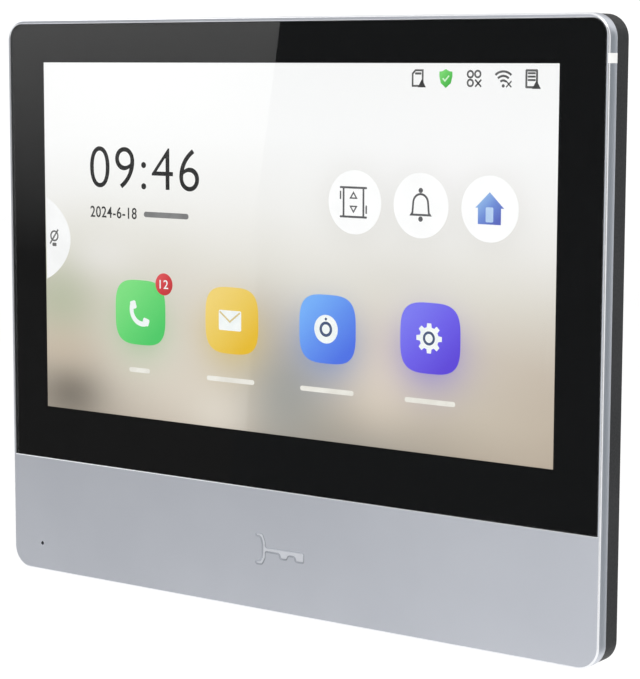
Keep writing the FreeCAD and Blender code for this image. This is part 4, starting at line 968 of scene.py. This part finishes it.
def make_status():
    grey = lit_tone("status_ink", rgb(82, 82, 82), rgb(100, 100, 100), 1.5)
    dark = lit_tone("status_dark", rgb(52, 52, 52), rgb(66, 66, 66), 1.5)
    green = lit_slope("status_green", 47.1, STATUS_Z, 2.4, rgb(120, 214, 112), rgb(92, 196, 88), rgb(64, 172, 66))
    pale = lit_tone("status_pale", rgb(214, 244, 210), rgb(204, 238, 200), 1.5)
    z = STATUS_Z
    xs = [x + SHIFT for x in (39.65, 47.3, 54.8, 62.6, 69.9)]
    card = [(-1.6, -2.0), (1.6, -2.0), (1.6, 2.0), (-0.7, 2.0), (-1.6, 1.1)]
    outline = moved(card, xs[0], z)
    show("card_status", [outline, inset(outline, 0.45)], "tile", grey)
    show("card_bar", [rounded(xs[0] - 0.7, xs[0] + 1.0, z + 0.8, z + 1.3, 0.1, 2)], "tile", grey)
    show("card_mark", [[(xs[0] + 0.1, z - 2.1), (xs[0] + 2.3, z - 2.1), (xs[0] + 1.2, z - 0.2)]], "sign", dark)
    shield = [(0, -2.2), (1.35, -1.1), (1.75, 0.4), (1.75, 1.5), (0.9, 1.6), (0, 2.1), (-0.9, 1.6), (-1.75, 1.5),
              (-1.75, 0.4), (-1.35, -1.1)]
    show("shield_status", [moved(shield, xs[1], z)], "tile", green)
    show("shield_tick", [stroke([(xs[1] - 0.8, z), (xs[1] - 0.2, z - 0.6), (xs[1] + 0.9, z + 0.6)], 0.35)],
         "sign", pale)
    for i, (dx, dz) in enumerate(((-0.95, 0.95), (1.0, 1.0), (-0.95, -1.0)), 1):
        show(f"cluster_ring_{i}", [disc(xs[2] + dx, z + dz, radius, 24) for radius in (0.95, 0.52)], "tile", grey)
    cross = (("tile", [(-0.8, -0.8), (0.8, 0.8)]), ("sign", [(-0.8, 0.8), (0.8, -0.8)]))
    for i, (layer, line) in enumerate(cross, 1):
        bar = stroke(line, 0.36)
        show(f"cluster_cross_{i}", [moved(bar, xs[2] + 1.15, z - 1.05)], layer, dark)
        show(f"signal_cross_{i}", [moved(bar, xs[3] + 1.35, z - 1.2, 0.85)], layer, dark)
    for i, radius in enumerate((1.1, 2.1, 3.1), 1):
        bow = stroke(arc(xs[3] - 0.1, z - 1.5, radius, 132, 48, 12), 0.5)
        show(f"signal_bow_{i}", [bow], "tile", grey)
    show("signal_dot", [disc(xs[3] - 0.1, z - 1.6, 0.38, 16)], "tile", grey)
    show("panel_status", hollow(xs[4] - 1.7, xs[4] + 1.5, z - 2.1, z + 2.1, 0.3, 0.5), "tile", grey)
    for i in range(3):
        low = z + 1.0 - i * 0.75
        show(f"panel_row_{i + 1}", [rounded(xs[4] - 1.1, xs[4] + 0.9, low, low + 0.46, 0.1, 2)], "tile", grey)
    show("panel_mark", [[(xs[4] + 0.1, z - 2.2), (xs[4] + 2.3, z - 2.2), (xs[4] + 1.2, z - 0.3)]], "sign", dark)


def make_side_tab():
    """The white tab that slides out from the left edge of the picture, with a small lamp on it."""
    white = lit_tone("tab_light", rgb(253, 253, 253), rgb(247, 247, 247), 6.0)
    grey = lit_tone("tab_ink", rgb(92, 92, 92), rgb(108, 108, 108), 2.0)
    steps = 28
    angles = [math.radians(-84 + 168 * i / steps) for i in range(steps + 1)]
    curve = [(LIT_LEFT + 8.4 * math.cos(a) ** 1.6, TAB_MIDDLE + 10.6 * math.sin(a)) for a in angles]
    outline = [(LIT_LEFT, TAB_MIDDLE - 10.8)] + curve + [(LIT_LEFT, TAB_MIDDLE + 10.8)]
    show("side_tab", [outline], "tile", white)
    cx, cz = LIT_LEFT + 2.8, TAB_MIDDLE + 0.2
    bulb = disc(cx, cz + 0.5, 1.45, 30)
    show("lamp_ring", [bulb, disc(cx, cz + 0.5, 1.02, 30)], "sign", grey)
    show("lamp_foot", [rounded(cx - 0.7, cx + 0.7, cz - 2.2, cz - 1.3, 0.2, 2)], "sign", grey)
    show("lamp_line", [stroke([(cx - 1.5, cz - 1.6), (cx + 1.4, cz + 2.2)], 0.42)], "badge", grey)


make_panel()
make_tiles()
make_labels()
make_clock()
make_circles()
make_status()
make_side_tab()


# ------------ rear label

def make_label():
    """A bare silver sticker with a fine border, low on the back."""
    back = extent("rear_cover")[5]
    foil = Paint("label_foil", Metallic=0.7)
    grain = foil.noise(0.6, 4.0, 0.7)
    cloud = foil.noise(9.0, 3.0, 0.5)
    foil.set("Base Color", foil.blend(foil.range(cloud, 0.35, 0.65), (0.61, 0.61, 0.60, 1), (0.64, 0.64, 0.63, 1)))
    foil.set("Roughness", foil.range(grain, 0.3, 0.7, 0.34, 0.50))
    foil.bump(grain, 0.4, 0.01)
    ink = plain("label_line", (0.05, 0.05, 0.052, 1), (0.08, 0.08, 0.082, 1), 0.5, 0.2, 0.004)
    left, right, low, high = -60.0, -16.0, -56.0, -44.0
    face, line_face, margin = back + 0.08, back + 0.10, 1.0
    sticker = [rounded(left, right, low, high, 1.2, 6)]
    border = hollow(left + margin, right - margin, low + margin, high - margin, 0.7, 0.25)
    for name, outlines, near, far, paint in (("rear_label", sticker, back, face, foil),
                                             ("rear_label_line", border, face, line_face, ink)):
        plate(name, outlines, near, far, [paint.material], 0.005)


make_label()


# ------------ stage, light and camera
CARD_Y = -2.0
CARD_LOW, CARD_HIGH = -0.75, 0.34
FLOOR_Z = -0.80
GREY_LIGHT = 0.09
COOL = (0.9, 0.95, 1.0, 1)


def reflected(name, corners, faces, glow):
    """A stage piece that shows in reflections only."""
    data = bpy.data.meshes.new(name)
    data.from_pydata(corners, [], faces)
    obj = placed(name, data, [glow.material])
    obj.visible_camera = False
    obj.visible_diffuse = False
    obj.visible_shadow = False
    obj.visible_volume_scatter = False


def card(name, corners, glow):
    reflected(name, corners, [tuple(range(len(corners)))], glow)


def upright(left_low, right_low, right_high, left_high, y):
    """Corners of a card that faces the object, given by the x of each."""
    return [(left_low, y, CARD_LOW), (right_low, y, CARD_LOW), (right_high, y, CARD_HIGH), (left_high, y, CARD_HIGH)]


def studio_wall():
    """A round wall of soft panels with grey between."""
    steps, radius, top = 96, 3.4, 2.4
    ring = [(radius * math.cos(math.tau * i / steps), radius * math.sin(math.tau * i / steps)) for i in range(steps)]
    verts = [(x, y, z) for z in (FLOOR_Z, top) for x, y in ring]
    faces = [(i, (i + 1) % steps, steps + (i + 1) % steps, steps + i) for i in range(steps)]
    glow = Glow("studio_wall")
    axes = glow.axes()
    turn = glow.math("ARCTAN2", axes[1], axes[0])
    swing = glow.math("SINE", glow.math("MULTIPLY_ADD", turn, 4.0, 2.6))
    glow.set("Strength", glow.range(swing, -0.35, 0.35, 0.42, 1.15, smooth=True))
    reflected("studio_wall", verts, faces, glow)


rising = Glow("bright_card")
rising.set("Strength", rising.range(rising.axes()[2], -0.22, 0.17, GREY_LIGHT, 0.84))
card("dark_card", upright(-1.46, -0.94, -0.94, -1.42, CARD_Y - 0.02),
     Glow("dark_card", Color=COOL, Strength=GREY_LIGHT))
card("bright_card", [(x, CARD_Y, z) for x, z in (
    (-2.25, CARD_LOW), (-1.60, CARD_LOW), (-1.577, -0.437), (-1.552, -0.236), (-1.502, 0.067),
    (-1.46, CARD_HIGH), (-2.25, CARD_HIGH))], rising)
card("under_card", upright(-1.62, -1.40, -1.40, -1.62, CARD_Y - 0.01),
     Glow("under_card", Color=COOL, Strength=GREY_LIGHT))
card("side_card", [(0.45, 1.30, -0.70), (1.35, 0.75, -0.70), (1.35, 0.75, 0.45), (0.45, 1.30, 0.45)],
     Glow("side_card", Color=(0.86, 0.96, 1.0, 1), Strength=0.28))
studio_wall()

world = bpy.data.worlds.new("studio")
world.use_nodes = True
background = world.node_tree.nodes["Background"]
background.inputs["Color"].default_value = (1.0, 1.0, 1.0, 1)
background.inputs["Strength"].default_value = 1.07
bpy.context.scene.world = world

floor_data = bpy.data.meshes.new("floor")
floor_work = bmesh.new()
bmesh.ops.create_grid(floor_work, x_segments=24, y_segments=24, size=9.0)
floor_work.to_mesh(floor_data)
floor_work.free()
floor_paint = Paint("floor_paint", Roughness=0.9, Specular_IOR_Level=0.1)
floor_paint.set("Base Color", floor_paint.blend(floor_paint.range(floor_paint.noise(900.0), 0.3, 0.7),
                                                (0.93, 0.93, 0.93, 1), (0.96, 0.96, 0.96, 1)))
floor = placed("floor", floor_data, [floor_paint.material])
floor.location = (0, 0, FLOOR_Z)


def area_light(name, place, size, power):
    """A square lamp that points at the object."""
    data = bpy.data.lights.new(name, "AREA")
    data.shape = "SQUARE"
    data.size = size
    data.energy = power
    obj = placed(name, data)
    obj.location = place
    obj.rotation_euler = (-Vector(place)).to_track_quat("-Z", "Y").to_euler()


area_light("key_light", (0.9, -1.2, 1.9), 1.4, 14)
area_light("fill_light", (-1.9, -0.6, 1.2), 1.6, 7)

EYE = (0.31710, -0.44148, 0.06095)
SIGHT = Vector((-0.5832, 0.8028, -0.1239)).normalized()
ACROSS = Vector((0.80882, 0.58805, 0.00295)).normalized()
camera_data = bpy.data.cameras.new("camera")
camera_data.lens = 115.90
camera_data.sensor_width = 36.0
camera_data.clip_start = 0.01
camera = placed("camera", camera_data)
upward = ACROSS.cross(SIGHT)
camera.matrix_world = Matrix([(a, u, -s, e) for a, u, s, e in zip(ACROSS, upward, SIGHT, EYE)] + [(0, 0, 0, 1)])
bpy.context.scene.camera = camera
bpy.context.scene.view_settings.view_transform = "Standard"
